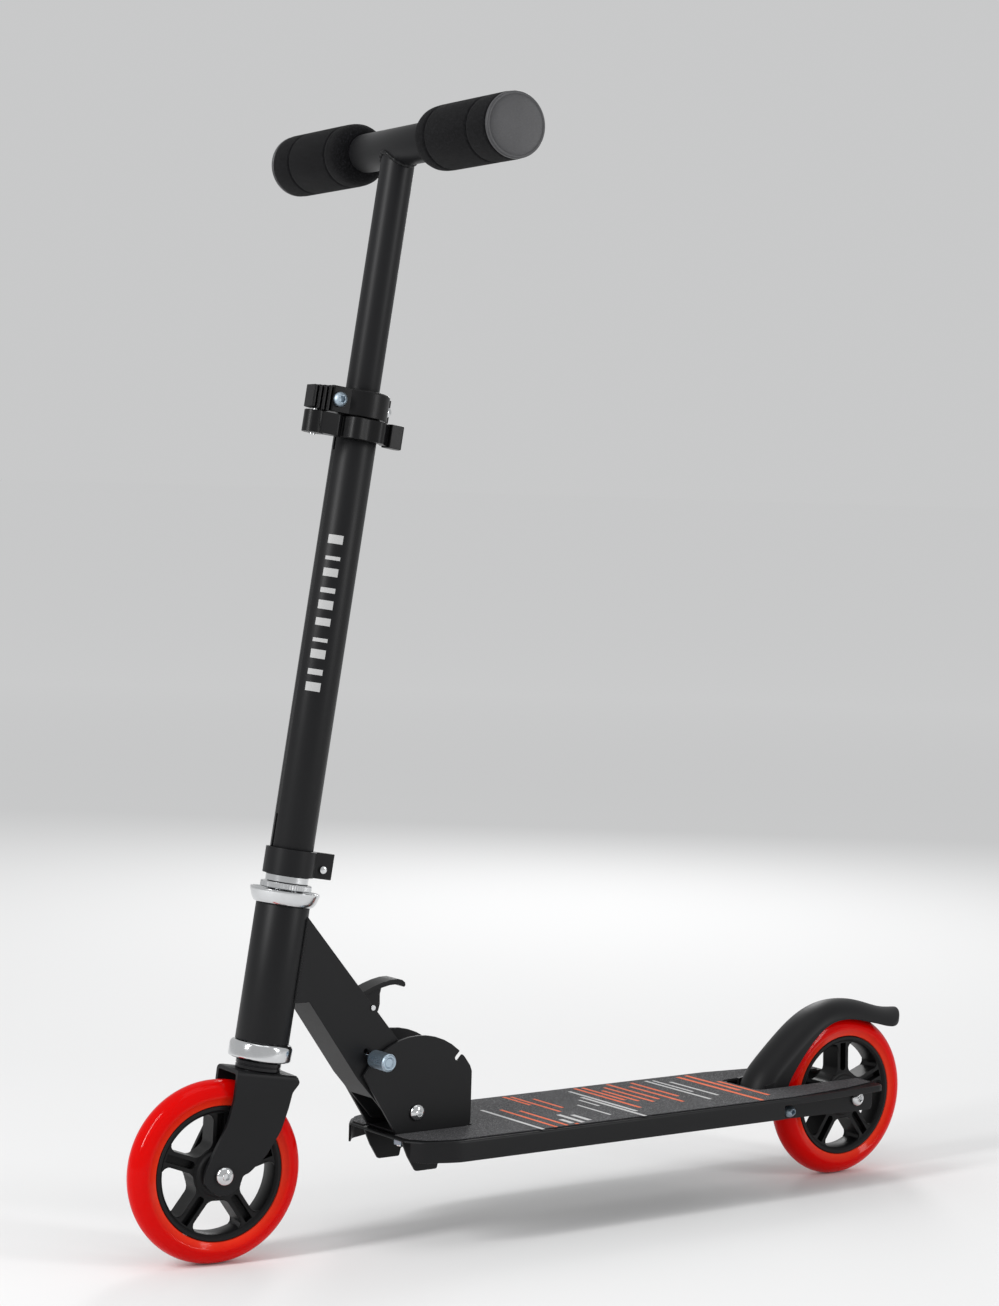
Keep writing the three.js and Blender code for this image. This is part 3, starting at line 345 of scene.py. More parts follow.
def turned_plastic(name, colour, axis):
    """Grey plastic with rings left by turning, and a fine metallic fleck."""
    finish = Finish(name, metallic=0.25, specular_ior_level=0.5)
    ring_pitch = 0.35 * MM
    rings = (finish.reach(axis) * (2 * math.pi / ring_pitch)).math("SINE")
    fleck = finish.noise(3200, 1)
    finish.feed("Base Color", finish.mix(fleck.ramp(0.4, 0.7), shade(colour, 0.7), shade(colour, 1.5)))
    finish.feed("Roughness", fleck * 0.15 + 0.34)
    finish.bump(rings * 0.5 + fleck * 0.6, 0.02 * MM)
    return finish.material


def abrasive_sheet(name, colour, glint):
    """Grit bonded to a sheet: coarse grains, crystals painted lighter as glints, and dark glue between them."""
    finish = Finish(name, specular_ior_level=0.55)
    grains = finish.cells(1500)
    spread = finish.noise(1100, 2, 0.6)
    lit = spread.ramp(0.5, 0.68)
    wear = finish.noise(9, 3)
    base = finish.mix(wear, shade(colour, 0.8), shade(colour, 1.2))
    # Where the spread noise is high, the colour is painted lighter towards the glint colour: painted glints on the
    # crystals.
    finish.feed("Base Color", finish.mix(lit * 0.9, base, glint))
    finish.feed("Roughness", 0.95 - lit * 0.45)
    finish.bump(spread * 0.7 + grains * 0.5, 0.35 * MM)
    return finish.material


def plated_steel(name, colour, roughness=0.12, ripple=0.01 * MM):
    """Bright plate with faint smears and handling marks."""
    finish = Finish(name, metallic=1.0)
    smear = finish.noise(60, 4, 0.6)
    grain = finish.noise(1200, 2)
    finish.feed("Base Color", finish.mix(smear, shade(colour, 0.86), shade(colour, 1.1)))
    finish.feed("Roughness", smear * 0.16 + (roughness - 0.05))
    finish.bump(grain, ripple)
    return finish.material


def make_finishes():
    """Every finish by name, and the finish that each record slot takes."""
    colours = bpy.context.scene.scooter_colours
    core_radius = FRONT_WHEEL.measure("front_wheel_core")[3]
    tread_radius = FRONT_WHEEL.measure("front_tyre")[3]
    urethane = (colours.tyre, colours.tyre_glow, core_radius, tread_radius)
    grit_glint = shade(colours.grit, 4.2)
    return {
        "painted_black": powder_coat("satin_powder_coat", colours.paint),
        "clamp_black": moulded_plastic("satin_nylon", colours.moulding, 0.36),
        "fender_black": powder_coat("fender_coat", shade(colours.paint, 0.95), 0.46, 0.02 * MM),
        "wheel_core": moulded_plastic("core_nylon", colours.moulding),
        "front_tyre": cast_urethane("front_urethane", FRONT_WHEEL, *urethane),
        "rear_tyre": cast_urethane("rear_urethane", REAR_WHEEL, *urethane),
        "foam_grip": grip_foam("black_foam", colours.foam),
        "cap_grey": turned_plastic("turned_grey_plastic", colours.cap, BAR),
        "grip_tape": abrasive_sheet("abrasive_sheet", colours.grit, grit_glint),
        "orange_print": abrasive_sheet("orange_on_grit", colours.orange, shade(colours.orange, 1.25)),
        "silver_print": abrasive_sheet("silver_on_grit", colours.silver, shade(colours.silver, 1.3)),
        "column_print": powder_coat("silver_ink", shade(colours.silver, 0.55), 0.4, 0.01 * MM),
        "bright_steel": plated_steel("nickel_plate", (0.66, 0.67, 0.68)),
        "race_black": powder_coat("gloss_black_race", (0.012, 0.012, 0.013), 0.16, 0.005 * MM),
        "zinc_blue": plated_steel("blue_zinc_plate", (0.36, 0.44, 0.51), 0.42, 0.05 * MM),
    }


FINISHES = {}


# ------------------------------------------------------------------ mesh helpers
def lathe(profile, closed=True, steps=None, angle=2 * math.pi):
    """Spins a profile of (radius, height) points about Z. An open one starts and ends on it."""
    steps = steps or bpy.context.scene.scooter_sizes.round_steps
    bm = bmesh.new()
    points = [bm.verts.new((radius, 0, height)) for radius, height in profile]
    following = points[1:] + points[:1] if closed else points[1:]
    edges = [bm.edges.new(pair) for pair in zip(points, following)]
    bmesh.ops.spin(
        bm, geom=points + edges, cent=(0, 0, 0), axis=(0, 0, 1), angle=angle, steps=steps,
        use_merge=angle >= 2 * math.pi)
    bmesh.ops.remove_doubles(bm, verts=bm.verts, dist=0.001 * MM)
    bmesh.ops.recalc_face_normals(bm, faces=bm.faces)
    return bm


def arc(centre, radius, start, end, steps):
    """Points on an arc in a profile, from one angle to another in degrees."""
    turns = [math.radians(start + (end - start) * i / steps) for i in range(steps + 1)]
    return [(centre[0] + radius * math.cos(t), centre[1] + radius * math.sin(t)) for t in turns]


def tube_profile(low, high, bore, radius, lip=0.5 * MM):
    """A tube's section with rounded outer ends."""
    return [
        (bore, low), (radius - lip, low), (radius - 0.3 * lip, low + 0.3 * lip), (radius, low + lip),
        (radius, high - lip), (radius - 0.3 * lip, high - 0.3 * lip), (radius - lip, high),
        (bore, high),
    ]


def joined(*parts):
    """One bmesh that holds several."""
    whole = bmesh.new()
    for part in parts:
        mesh = bpy.data.meshes.new("part")
        part.to_mesh(mesh)
        part.free()
        whole.from_mesh(mesh)
        bpy.data.meshes.remove(mesh)
    return whole


def place_piece(name, bm, finish, axis=None, smooth=35):
    """Turns a bmesh into an object at the origin, its place in its mesh."""
    if axis:
        bm.transform(axis.matrix)
    mesh = bpy.data.meshes.new(name)
    bm.to_mesh(mesh)
    bm.free()
    mesh.shade_smooth()
    mesh.set_sharp_from_angle(angle=math.radians(smooth))
    mesh.materials.append(FINISHES[finish])
    piece = bpy.data.objects.new(name, mesh)
    bpy.context.scene.collection.objects.link(piece)
    return piece


def stand_for(piece, *nodes):
    """The piece rides with its CAD nodes and is shown in their place."""
    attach(piece, BODY_OF[nodes[0]])
    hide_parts(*nodes)
    return piece


def add_to(piece, body):
    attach(piece, body)
    return piece


def round_edges(piece, width, segments=2, angle=35):
    bevel = piece.modifiers.new("Rounded edges", "BEVEL")
    bevel.width = width
    bevel.segments = segments
    bevel.limit_method = "ANGLE"
    bevel.angle_limit = math.radians(angle)
    bevel.harden_normals = True
    return piece


def plate(outline, low, high):
    """A flat plate from an outline of (x, z) points, between two places across the scooter."""
    bm = bmesh.new()
    face = bm.faces.new([bm.verts.new((x, low, z)) for x, z in outline])
    made = bmesh.ops.extrude_face_region(bm, geom=[face])["geom"]
    far = [item for item in made if isinstance(item, bmesh.types.BMVert)]
    bmesh.ops.translate(bm, vec=(0, high - low, 0), verts=far)
    bmesh.ops.recalc_face_normals(bm, faces=bm.faces)
    return bm


def eased_copy(node, finish, width=None, flat=0.6, sharp=32):
    """A copy of a CAD node with its facets merged and its sharp edges broken."""
    width = width or bpy.context.scene.scooter_sizes.edge_break
    bm = bmesh.new()
    bm.from_mesh(CAD[node].data)
    bmesh.ops.remove_doubles(bm, verts=bm.verts, dist=0.002 * MM)
    bmesh.ops.dissolve_limit(
        bm, angle_limit=math.radians(flat), verts=bm.verts, edges=bm.edges, delimit=set())
    corners = [
        edge for edge in bm.edges
        if edge.is_manifold and edge.calc_face_angle() > math.radians(sharp)
    ]
    bmesh.ops.bevel(
        bm, geom=corners, offset=width, offset_type="OFFSET", segments=2, profile=0.5,
        affect="EDGES", clamp_overlap=False, material=-1)
    piece = place_piece(f"{node}_finished", bm, finish, smooth=50)
    weighted = piece.modifiers.new("Flat faces shade flat", "WEIGHTED_NORMAL")
    weighted.keep_sharp = True
    return stand_for(piece, node)


# ------------------------------------------------------------------ wheels
def tyre_profile(seat, radius, half):
    """A round tread on flat cheeks, with a fine parting line round the middle."""
    cheek = 6.2 * MM
    crown = radius - half
    edge_half = half - 1.3 * MM
    parting = 0.12 * MM
    tread = arc((crown, 0), half - 0.05 * MM, -84, 84, 32)
    line = len(tread) // 2
    tread[line] = (tread[line][0] + parting, 0)
    return [
        (seat, edge_half - 0.8 * MM), (seat, 0.8 * MM - edge_half),
        (seat + 0.7 * MM, -edge_half), (seat + cheek - 0.9 * MM, -half + 0.75 * MM),
        (seat + cheek - 0.5 * MM, -half + 0.25 * MM), *tread,
        (seat + cheek - 0.5 * MM, half - 0.25 * MM), (seat + cheek - 0.9 * MM, half - 0.75 * MM),
        (seat + 0.7 * MM, edge_half),
    ]


def make_tyre(end, axis):
    low, high, seat, radius = axis.measure(f"{end}_tyre")
    bm = lathe(tyre_profile(seat, radius, (high - low) / 2), steps=160)
    piece = place_piece(f"{end}_tread", bm, f"{end}_tyre", axis, smooth=50)
    stand_for(piece, f"{end}_tyre")


def turn_between(centre, start, end, steps, clockwise=False):
    """Points on an arc about a centre, from one point to another."""
    first = math.atan2(start[1] - centre[1], start[0] - centre[0])
    last = math.atan2(end[1] - centre[1], end[0] - centre[0])
    sweep = (last - first) % (2 * math.pi)
    if clockwise:
        sweep -= 2 * math.pi
    radius = math.dist(centre, start)
    angles = [first + sweep * i / steps for i in range(steps + 1)]
    return [(centre[0] + radius * math.cos(t), centre[1] + radius * math.sin(t)) for t in angles]


def spoke_outlines(hub, rim, half, groove):
    """The spoke's outline, filleted into hub and rim, and the groove in it, point for point."""
    hub_fillet = 7.5 * MM
    rim_fillet = 3.6 * MM
    steps = 11
    y = half + hub_fillet
    x = math.sqrt((hub + hub_fillet) ** 2 - y ** 2)
    share = hub / (hub + hub_fillet)
    edge = turn_between((x, y), (x * share, y * share), (x, half), steps)
    y = half + rim_fillet
    x = math.sqrt((rim - rim_fillet) ** 2 - y ** 2)
    share = rim / (rim - rim_fillet)
    edge += turn_between((x, y), (x, half), (x * share, y * share), steps)
    share = (rim + 2.4 * MM) / (rim - rim_fillet)
    edge.append((x * share, y * share))
    outline = edge + [(x, -y) for x, y in reversed(edge)]
    start = hub + 0.5 * MM
    end = rim - 0.6 * MM
    round_end = arc((start + groove, 0), groove, 172, 90, steps)
    straight = steps + 1
    slot_edge = round_end + [
        (start + groove + (end - start - groove) * (i + 1) / straight, groove)
        for i in range(straight)
    ]
    slot = slot_edge + [(x, -y) for x, y in reversed(slot_edge)]
    return outline, slot


def loop_edges(bm, points, height):
    verts = [bm.verts.new((x, y, height)) for x, y in points]
    return [bm.edges.new(pair) for pair in zip(verts, verts[1:] + verts[:1])]


def drop(bm, edges, height):
    """Pulls a wall from a loop of edges to a height and returns its far edges."""
    made = bmesh.ops.extrude_edge_only(bm, edges=edges)["geom"]
    for vert in (item for item in made if isinstance(item, bmesh.types.BMVert)):
        vert.co.z = height
    far = [item for item in made if isinstance(item, bmesh.types.BMEdge)]
    return [edge for edge in far if all(abs(v.co.z - height) < 1e-9 for v in edge.verts)]


def spoke_half(hub, rim, half, groove, top, floor):
    """One side of a spoke, from its face down to the wheel's middle plane."""
    bm = bmesh.new()
    outline, slot = spoke_outlines(hub, rim, half, groove)
    outside = loop_edges(bm, outline, top)
    inside = loop_edges(bm, slot, top)
    bmesh.ops.bridge_loops(bm, edges=outside + inside)
    drop(bm, outside, 0)
    bottom = drop(bm, inside, floor)
    bmesh.ops.contextual_create(bm, geom=bottom)
    return bm


def mirrored(half):
    """Half of a closed profile, and its reflection in the wheel's middle plane."""
    return half + [(radius, -height) for radius, height in reversed(half)]


def make_core(end, axis):
    """A hub and a rim joined by five grooved spokes."""
    _, face, bore, radius = axis.measure(f"{end}_wheel_core")
    hub = 21.5 * MM
    rim = radius - 5.4 * MM
    web = face - 2.2 * MM
    rim_face = face - 0.2 * MM
    rim_ring = lathe([(rim - 0.5 * MM, 0)] + mirrored([
        (rim, 0.9 * MM - web), (rim + 0.9 * MM, -web - 0.5 * MM),
        (rim + 1.9 * MM, 0.7 * MM - rim_face), (rim + 2.6 * MM, -rim_face),
        (radius - 0.6 * MM, -rim_face), (radius, 0.6 * MM - rim_face),
    ]), steps=144)
    pocket = 11.3 * MM
    hub_ring = lathe(mirrored([
        (bore, 4 * MM), (pocket, 4.4 * MM), (pocket, face - 0.6 * MM),
        (pocket + 0.5 * MM, face), (16.6 * MM, face), (17.6 * MM, face - 0.5 * MM),
        (18.4 * MM, web + 0.5 * MM), (19.2 * MM, web), (hub - 0.8 * MM, web),
        (hub, web - 0.8 * MM),
    ]), steps=96)
    spokes = []
    spoke_count = 5
    clock = {"front": 25, "rear": 20}[end] + 180 / spoke_count
    half_width, half_groove, groove_floor = 6.4 * MM, 3.2 * MM, 3.6 * MM
    for i in range(spoke_count):
        upper = spoke_half(hub, rim, half_width, half_groove, web - 0.1 * MM, groove_floor)
        lower = upper.copy()
        bmesh.ops.scale(lower, vec=(1, 1, -1), verts=lower.verts)
        spoke = joined(upper, lower)
        bmesh.ops.remove_doubles(spoke, verts=spoke.verts, dist=0.002 * MM)
        bmesh.ops.recalc_face_normals(spoke, faces=spoke.faces)
        turn = Matrix.Rotation(math.radians(clock + 360 / spoke_count * i), 4, "Z")
        spoke.transform(turn)
        spokes.append(spoke)
    piece = place_piece(f"{end}_core", joined(rim_ring, hub_ring, *spokes), "wheel_core", axis)
    round_edges(piece, 0.5 * MM, 2, 40)
    stand_for(piece, f"{end}_wheel_core")


def make_bearing(end, side, axis):
    """Two races with a rubber-sealed shield set back between them."""
    node = f"{end}_bearing_{side}"
    low, high, bore, radius = axis.measure(node)
    lip = 0.3 * MM
    outer_race = lathe(tube_profile(low, high, radius - 2 * MM, radius, lip), steps=72)
    inner_race = lathe(tube_profile(low, high, bore, bore + 2.2 * MM, lip), steps=72)
    shield = lathe(tube_profile(
        low + 0.5 * MM, high - 0.5 * MM, bore + 2.1 * MM, radius - 1.9 * MM, 0.1 * MM), steps=72)
    piece = place_piece(f"{node}_races", joined(outer_race, inner_race, shield), "bright_steel", axis)
    stand_for(piece, node)


class SCOOTER_OT_wheels(bpy.types.Operator):
    """Tyres, cores and bearings of both wheels"""

    bl_idname = "scooter.wheels"
    bl_label = "Wheels"

    def execute(self, context):
        for end, axis in (("front", FRONT_WHEEL), ("rear", REAR_WHEEL)):
            make_tyre(end, axis)
            make_core(end, axis)
            for side in ("left", "right"):
                make_bearing(end, side, axis)
        return {"FINISHED"}


# ------------------------------------------------------------------ column and headset
def make_tube(node, name, axis, finish="painted_black", lip=0.5 * MM):
    low, high, bore, radius = axis.measure(node)
    piece = place_piece(name, lathe(tube_profile(low, high, bore, radius, lip)), finish, axis)
    return stand_for(piece, node)


def cut_slit(piece, axis, low, high, half, reach):
    """Saws a slit through the front of a tube."""
    bm = bmesh.new()
    bmesh.ops.create_cube(bm, size=1)
    bmesh.ops.scale(bm, vec=(reach, 2 * half, high - low), verts=bm.verts)
    bmesh.ops.translate(bm, vec=(reach / 2, 0, (low + high) / 2), verts=bm.verts)
    cut_away(piece, bm, axis)


def cut_away(piece, bm, axis):
    """Takes a bmesh's shape out of a piece."""
    cutter = place_piece("cutter", bm, "painted_black", axis)
    saw = piece.modifiers.new("Cut", "BOOLEAN")
    saw.object = cutter
    saw.solver = "EXACT"
    graph = bpy.context.evaluated_depsgraph_get()
    mesh = bpy.data.meshes.new_from_object(piece.evaluated_get(graph))
    piece.modifiers.clear()
    old = piece.data
    piece.data = mesh
    mesh.name = old.name
    bpy.data.meshes.remove(old)
    bpy.data.meshes.remove(cutter.data)


def make_column():
    column = make_tube("lower_column", "column_tube", STEERING)
    low, high, _, _ = STEERING.measure("lower_column")
    slit, past, reach = 47 * MM, 5 * MM, 30 * MM
    cut_slit(column, STEERING, high - slit, high + past, 1.6 * MM, reach)
    cut_slit(column, STEERING, low - past, low + slit, 1.4 * MM, reach)


def make_column_print():
    """A ladder of short silver bars up the front of the column, in place of lettering."""
    low, high, _, radius = STEERING.measure("lower_column")
    ink = radius + bpy.context.scene.scooter_sizes.print_height
    start = low + 0.38 * (high - low)
    bars = [7, 4.5, 7, 3, 6, 7, 4, 6.5, 3, 7]
    pitch = 13 * MM
    sweep = math.radians(40)
    first_side = Matrix.Rotation(math.radians(33), 4, "Z")
    sunk = radius - 0.1 * MM
    patches = []
    for i, length in enumerate(bars):
        foot = start + i * pitch
        profile = [
            (sunk, foot), (ink, foot), (ink, foot + length * MM), (sunk, foot + length * MM),
        ]
        patch = lathe(profile, steps=24, angle=sweep)
        rim = [edge for edge in patch.edges if edge.is_boundary]
        bmesh.ops.holes_fill(patch, edges=rim)
        patch.transform(first_side)
        bmesh.ops.recalc_face_normals(patch, faces=patch.faces)
        patches.append(patch)
    piece = place_piece("column_print", joined(*patches), "column_print", STEERING)
    add_to(piece, "steering")


def make_headset():
    make_tube("head_tube", "head_tube_smooth", HEAD)
    low, high, bore, radius = HEAD.measure("lower_bearing_cup")
    bevel = 2 * MM
    shell = high - 9 * MM
    lower = [
        (bore, shell - 5 * MM), (bore + 4 * MM, shell - 5 * MM), (bore + 4.6 * MM, low + 0.3 * MM),
        (radius - bevel, low), *arc((radius - bevel, low + bevel), bevel, -80, 0, 6),
        (radius, shell - 3.4 * MM), (radius - 0.5 * MM, shell - 1.8 * MM),
        (radius - 1.6 * MM, shell - 0.5 * MM), (radius - 3 * MM, shell), (bore + 3 * MM, shell),
        (bore + 3 * MM, high), (bore, high),
    ]
    piece = place_piece("lower_cup_pressed", lathe(lower), "bright_steel", HEAD)
    stand_for(piece, "lower_bearing_cup")
    low, high, bore, radius = HEAD.measure("upper_bearing_cup")
    seat = high - 11.6 * MM
    upper = [
        (bore, low), (bore + 2.5 * MM, low), (bore + 2.5 * MM, seat), (radius - 5.2 * MM, seat),
        (radius - 3.9 * MM, seat + 0.8 * MM), (radius - 2.2 * MM, seat + 3.4 * MM),
        (radius - 1.1 * MM, seat + 6.4 * MM), (radius - 0.2 * MM, seat + 9.2 * MM),
        (radius, seat + 10.2 * MM), (radius - 0.1 * MM, high - 0.3 * MM), (radius - 0.6 * MM, high),
        (radius - 1.5 * MM, high), (radius - 2 * MM, high - 0.5 * MM),
        (radius - 3.2 * MM, seat + 7.4 * MM), (radius - 5 * MM, seat + 5.6 * MM),
        (bore + 4 * MM, seat + 5 * MM), (bore, seat + 5 * MM),
    ]
    piece = place_piece("upper_cup_pressed", lathe(upper), "bright_steel", HEAD)
    stand_for(piece, "upper_bearing_cup")


def make_headset_nut():
    """A locknut with a knurled foot and a plain neck."""
    low, high, bore, radius = STEERING.measure("headset_nut")
    neck = high - low - 5 * MM
    neck_radius = STEERING.measure("lower_column")[3] - 0.3 * MM
    shoulder = high - neck
    body = [
        (bore, low), (radius - 0.5 * MM, low), (radius, low + 0.6 * MM), (radius, shoulder - 1 * MM),
        (radius - 0.6 * MM, shoulder - 0.2 * MM), (neck_radius + 0.8 * MM, shoulder),
        (neck_radius, shoulder + 0.7 * MM), (neck_radius, high - 0.4 * MM),
        (neck_radius - 0.4 * MM, high), (bore, high),
    ]
    knurl = 120
    bm = lathe(body, steps=knurl)
    for vert in bm.verts:
        turn = math.atan2(vert.co.y, vert.co.x)
        if low + 0.4 * MM < vert.co.z < shoulder - 0.8 * MM and round(turn / (2 * math.pi) * knurl) % 2:
            vert.co.xy *= 1 - 0.35 * MM / radius
    piece = place_piece("headset_locknut", bm, "bright_steel", STEERING, smooth=25)
    stand_for(piece, "headset_nut")
    low, high, bore, radius = STEERING.measure("crown_race")
    race = [
        (bore, low), (radius - 0.3 * MM, low), (radius, low + 0.3 * MM), (radius, low + 2.6 * MM),
        (radius - 0.5 * MM, low + 3 * MM), (radius - 0.5 * MM, low + 3.5 * MM),
        (radius, low + 3.9 * MM), (radius, high - 1.2 * MM), (radius - 1.2 * MM, high), (bore, high),
    ]
    piece = place_piece("crown_race_turned", lathe(race), "race_black", STEERING)
    stand_for(piece, "crown_race")


class SCOOTER_OT_column(bpy.types.Operator):
    """Steering column, headset, column band and their print"""

    bl_idname = "scooter.column"
    bl_label = "Column and Headset"

    def execute(self, context):
        make_column()
        make_column_print()
        make_headset()
        make_headset_nut()
        eased_copy("column_band", "painted_black")
        eased_copy("band_bolt", "bright_steel", 0.15 * MM)
        for node in ("upper_bearing", "lower_bearing"):
            eased_copy(node, "bright_steel", 0.3 * MM)
        return {"FINISHED"}


# ------------------------------------------------------------------ handlebar
def grip_profile(low, high, bore, radius, groove):
    """Foam with a domed inner end and two round-lipped grooves."""
    swell = 0.25 * MM
    body = radius - swell
    profile = [(bore, low), (body - 8.5 * MM, low)]
    profile += [(body - 8.5 * MM + x, low + z) for x, z in (
        (1.4 * MM, 0.25 * MM), (3.6 * MM, 1.4 * MM), (5.6 * MM, 3.2 * MM), (7.1 * MM, 5.8 * MM),
        (8.1 * MM, 8.8 * MM), (8.5 * MM, 12.2 * MM))]
    lip = 1.5 * MM
    slope_end = 3.2 * MM
    part_way = 0.45 * groove
    for at in (low + 23 * MM, low + 89 * MM):
        profile += [
            (body + swell, at - slope_end), (body, at - lip), (body - part_way, at - 0.5 * lip),
            (body - groove, at), (body - part_way, at + 0.5 * lip), (body, at + lip),
            (body + swell, at + slope_end),
        ]
    end = [(body + swell, high - 4 * MM), (body, high - 1.4 * MM), (body - 0.6 * MM, high - 0.4 * MM),
           (body - 1.6 * MM, high), (bore, high)]
    return profile + end


def make_grip(side):
    node = f"grip_{side}"
    mirror = 1 if side == "left" else -1
    low, high, bore, radius = BAR.measure(node)
    reach = sorted((low * mirror, high * mirror))
    groove = bpy.context.scene.scooter_sizes.grip_groove
    bm = lathe(grip_profile(*reach, bore, radius, groove), steps=120)
    bmesh.ops.scale(bm, vec=(1, 1, mirror), verts=bm.verts)
    bmesh.ops.recalc_face_normals(bm, faces=bm.faces)
    piece = stand_for(place_piece(f"{node}_foam", bm, "foam_grip", BAR, smooth=80), node)


def make_cap(side):
    node = f"end_cap_{side}"
    mirror = 1 if side == "left" else -1
    low, high, _, radius = BAR.measure(node)
    near, far = sorted((low * mirror, high * mirror))
    flange = far - 4 * MM
    plug = 10.1 * MM
    profile = [
        (0, near), (plug - 0.8 * MM, near), (plug, near + 0.8 * MM), (plug, flange),
        (radius - 0.6 * MM, flange), (radius, flange + 0.6 * MM), (radius, far - 2.2 * MM),
        *arc((radius - 1.3 * MM, far - 2 * MM), 1.3 * MM, 0, 80, 5),
        (radius - 1.9 * MM, far - 0.75 * MM), (radius - 2.4 * MM, far - 0.95 * MM),
        (radius - 2.9 * MM, far - 0.75 * MM), (radius - 4.4 * MM, far - 0.45 * MM),
        (radius - 9 * MM, far - 0.2 * MM), (radius - 16 * MM, far - 0.05 * MM), (0, far),
    ]
    bm = lathe(profile, closed=False)
    bmesh.ops.scale(bm, vec=(1, 1, mirror), verts=bm.verts)
    bmesh.ops.recalc_face_normals(bm, faces=bm.faces)
    stand_for(place_piece(f"{node}_turned", bm, "cap_grey", BAR, smooth=40), node)


def weld_bead(name, points, body, closed=False, radius=None):
    """A rippled bead along points: a swept round whose thickness pulses like laid weld."""
    radius = radius or bpy.context.scene.scooter_sizes.weld_radius
    curve = bpy.data.curves.new(name, "CURVE")
    curve.dimensions = "3D"
    curve.bevel_depth = radius
    curve.bevel_resolution = 3
    curve.use_fill_caps = not closed
    spline = curve.splines.new("POLY")
    spline.points.add(len(points) - 1)
    for i, point in enumerate(points):
        spline.points[i].co = (*point, 1)
        spline.points[i].radius = 1 + 0.11 * math.sin(i * 2 * math.pi / 6)
    spline.use_cyclic_u = closed
    source = bpy.data.objects.new(name, curve)
    mesh = bpy.data.meshes.new_from_object(source)
    bpy.data.objects.remove(source)
    bpy.data.curves.remove(curve)
    bm = bmesh.new()
    bm.from_mesh(mesh)
    bpy.data.meshes.remove(mesh)
    bmesh.ops.remove_doubles(bm, verts=bm.verts, dist=0.001 * MM)
    bmesh.ops.recalc_face_normals(bm, faces=bm.faces)
    piece = place_piece(name, bm, "painted_black", smooth=60)
    add_to(piece, body)


def make_bar():
    make_tube("cross_sleeve", "cross_sleeve_smooth", BAR, lip=0.8 * MM)
    make_tube("handle_tube", "handle_tube_smooth", BAR, "bright_steel")
    low, _, bore, mast = STEERING.measure("upper_tube")
    height = (STEERING.inverse @ middle("cross_sleeve")).z
    sleeve = BAR.measure("cross_sleeve")[3]
    tube = lathe(tube_profile(low, height - sleeve * 0.72, bore, mast))
    top = height - sleeve * 0.8
    for vert in tube.verts:
        if vert.co.z > top - 1 * MM:
            across = min(abs(vert.co.x), sleeve)
            vert.co.z = height - math.sqrt(sleeve ** 2 - across ** 2) - 0.1 * MM
    stand_for(place_piece("height_tube", tube, "painted_black", STEERING), "upper_tube")
    count = 132
    weld = mast + 0.4 * MM
    ring = []
    for i in range(count):
        turn = 2 * math.pi * i / count
        x, y = weld * math.cos(turn), weld * math.sin(turn)
        ring.append(STEERING.at(x, y, height - math.sqrt(sleeve ** 2 - x * x) - 0.3 * MM))
    weld_bead("cross_weld", ring, "handlebar", True)


class SCOOTER_OT_handlebar(bpy.types.Operator):
    """Cross bar, foam grips, end caps and the weld under the bar"""

    bl_idname = "scooter.handlebar"
    bl_label = "Handlebar"

    def execute(self, context):
        make_bar()
        for side in ("left", "right"):
            make_grip(side)
            make_cap(side)
        return {"FINISHED"}


# ------------------------------------------------------------------ clamp, lock and bolts
def knurled_knob(length, radius):
    """A barrel with straight knurling, a chamfered nose and a dished face."""
    ribs = 36
    profile = [
        (0, 0), (radius - 0.8 * MM, 0), (radius, 0.8 * MM), (radius, length - 1.9 * MM),
        (radius - 0.3 * MM, length - 1.5 * MM), (radius - 0.7 * MM, length - 1.3 * MM),
        (radius - 1.1 * MM, length - 0.5 * MM), (radius - 1.7 * MM, length),
        (4.7 * MM, length), (4.1 * MM, length - 0.5 * MM), (3.4 * MM, length - 1.3 * MM),
        (0, length - 1.3 * MM),
    ]
    bm = lathe(profile, closed=False, steps=2 * ribs)
    for vert in bm.verts:
        reach = vert.co.xy.length
        turn = math.atan2(vert.co.y, vert.co.x)
        if reach > radius - 0.1 * MM and round(turn / math.pi * ribs) % 2:
            vert.co.xy *= 1 - 0.75 * MM / reach
    return bm


def make_lock():
    low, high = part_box("lock_knob")
    radius = (high.z - low.z) / 2
    length = high.y - low.y
    centre = (low + high) / 2
    across = Axis((centre.x, 0, centre.z), (0, 1, 0), (1, 0, 0))
    knob = knurled_knob(length, radius)
    bmesh.ops.translate(knob, vec=(0, 0, low.y), verts=knob.verts)
    opposite = knob.copy()
    bmesh.ops.scale(opposite, vec=(1, 1, -1), verts=opposite.verts)
    bmesh.ops.recalc_face_normals(opposite, faces=opposite.faces)
    stand_for(place_piece("lock_knob_knurled", knob, "zinc_blue", across, smooth=28), "lock_knob")
    pin = lathe([(0, -low.y), (1.8 * MM, -low.y), (1.8 * MM, low.y), (0, low.y)], closed=False, steps=32)
    piece = place_piece("lock_pin_knurled", joined(opposite, pin), "zinc_blue", across, smooth=28)
    stand_for(piece, "lock_pin")


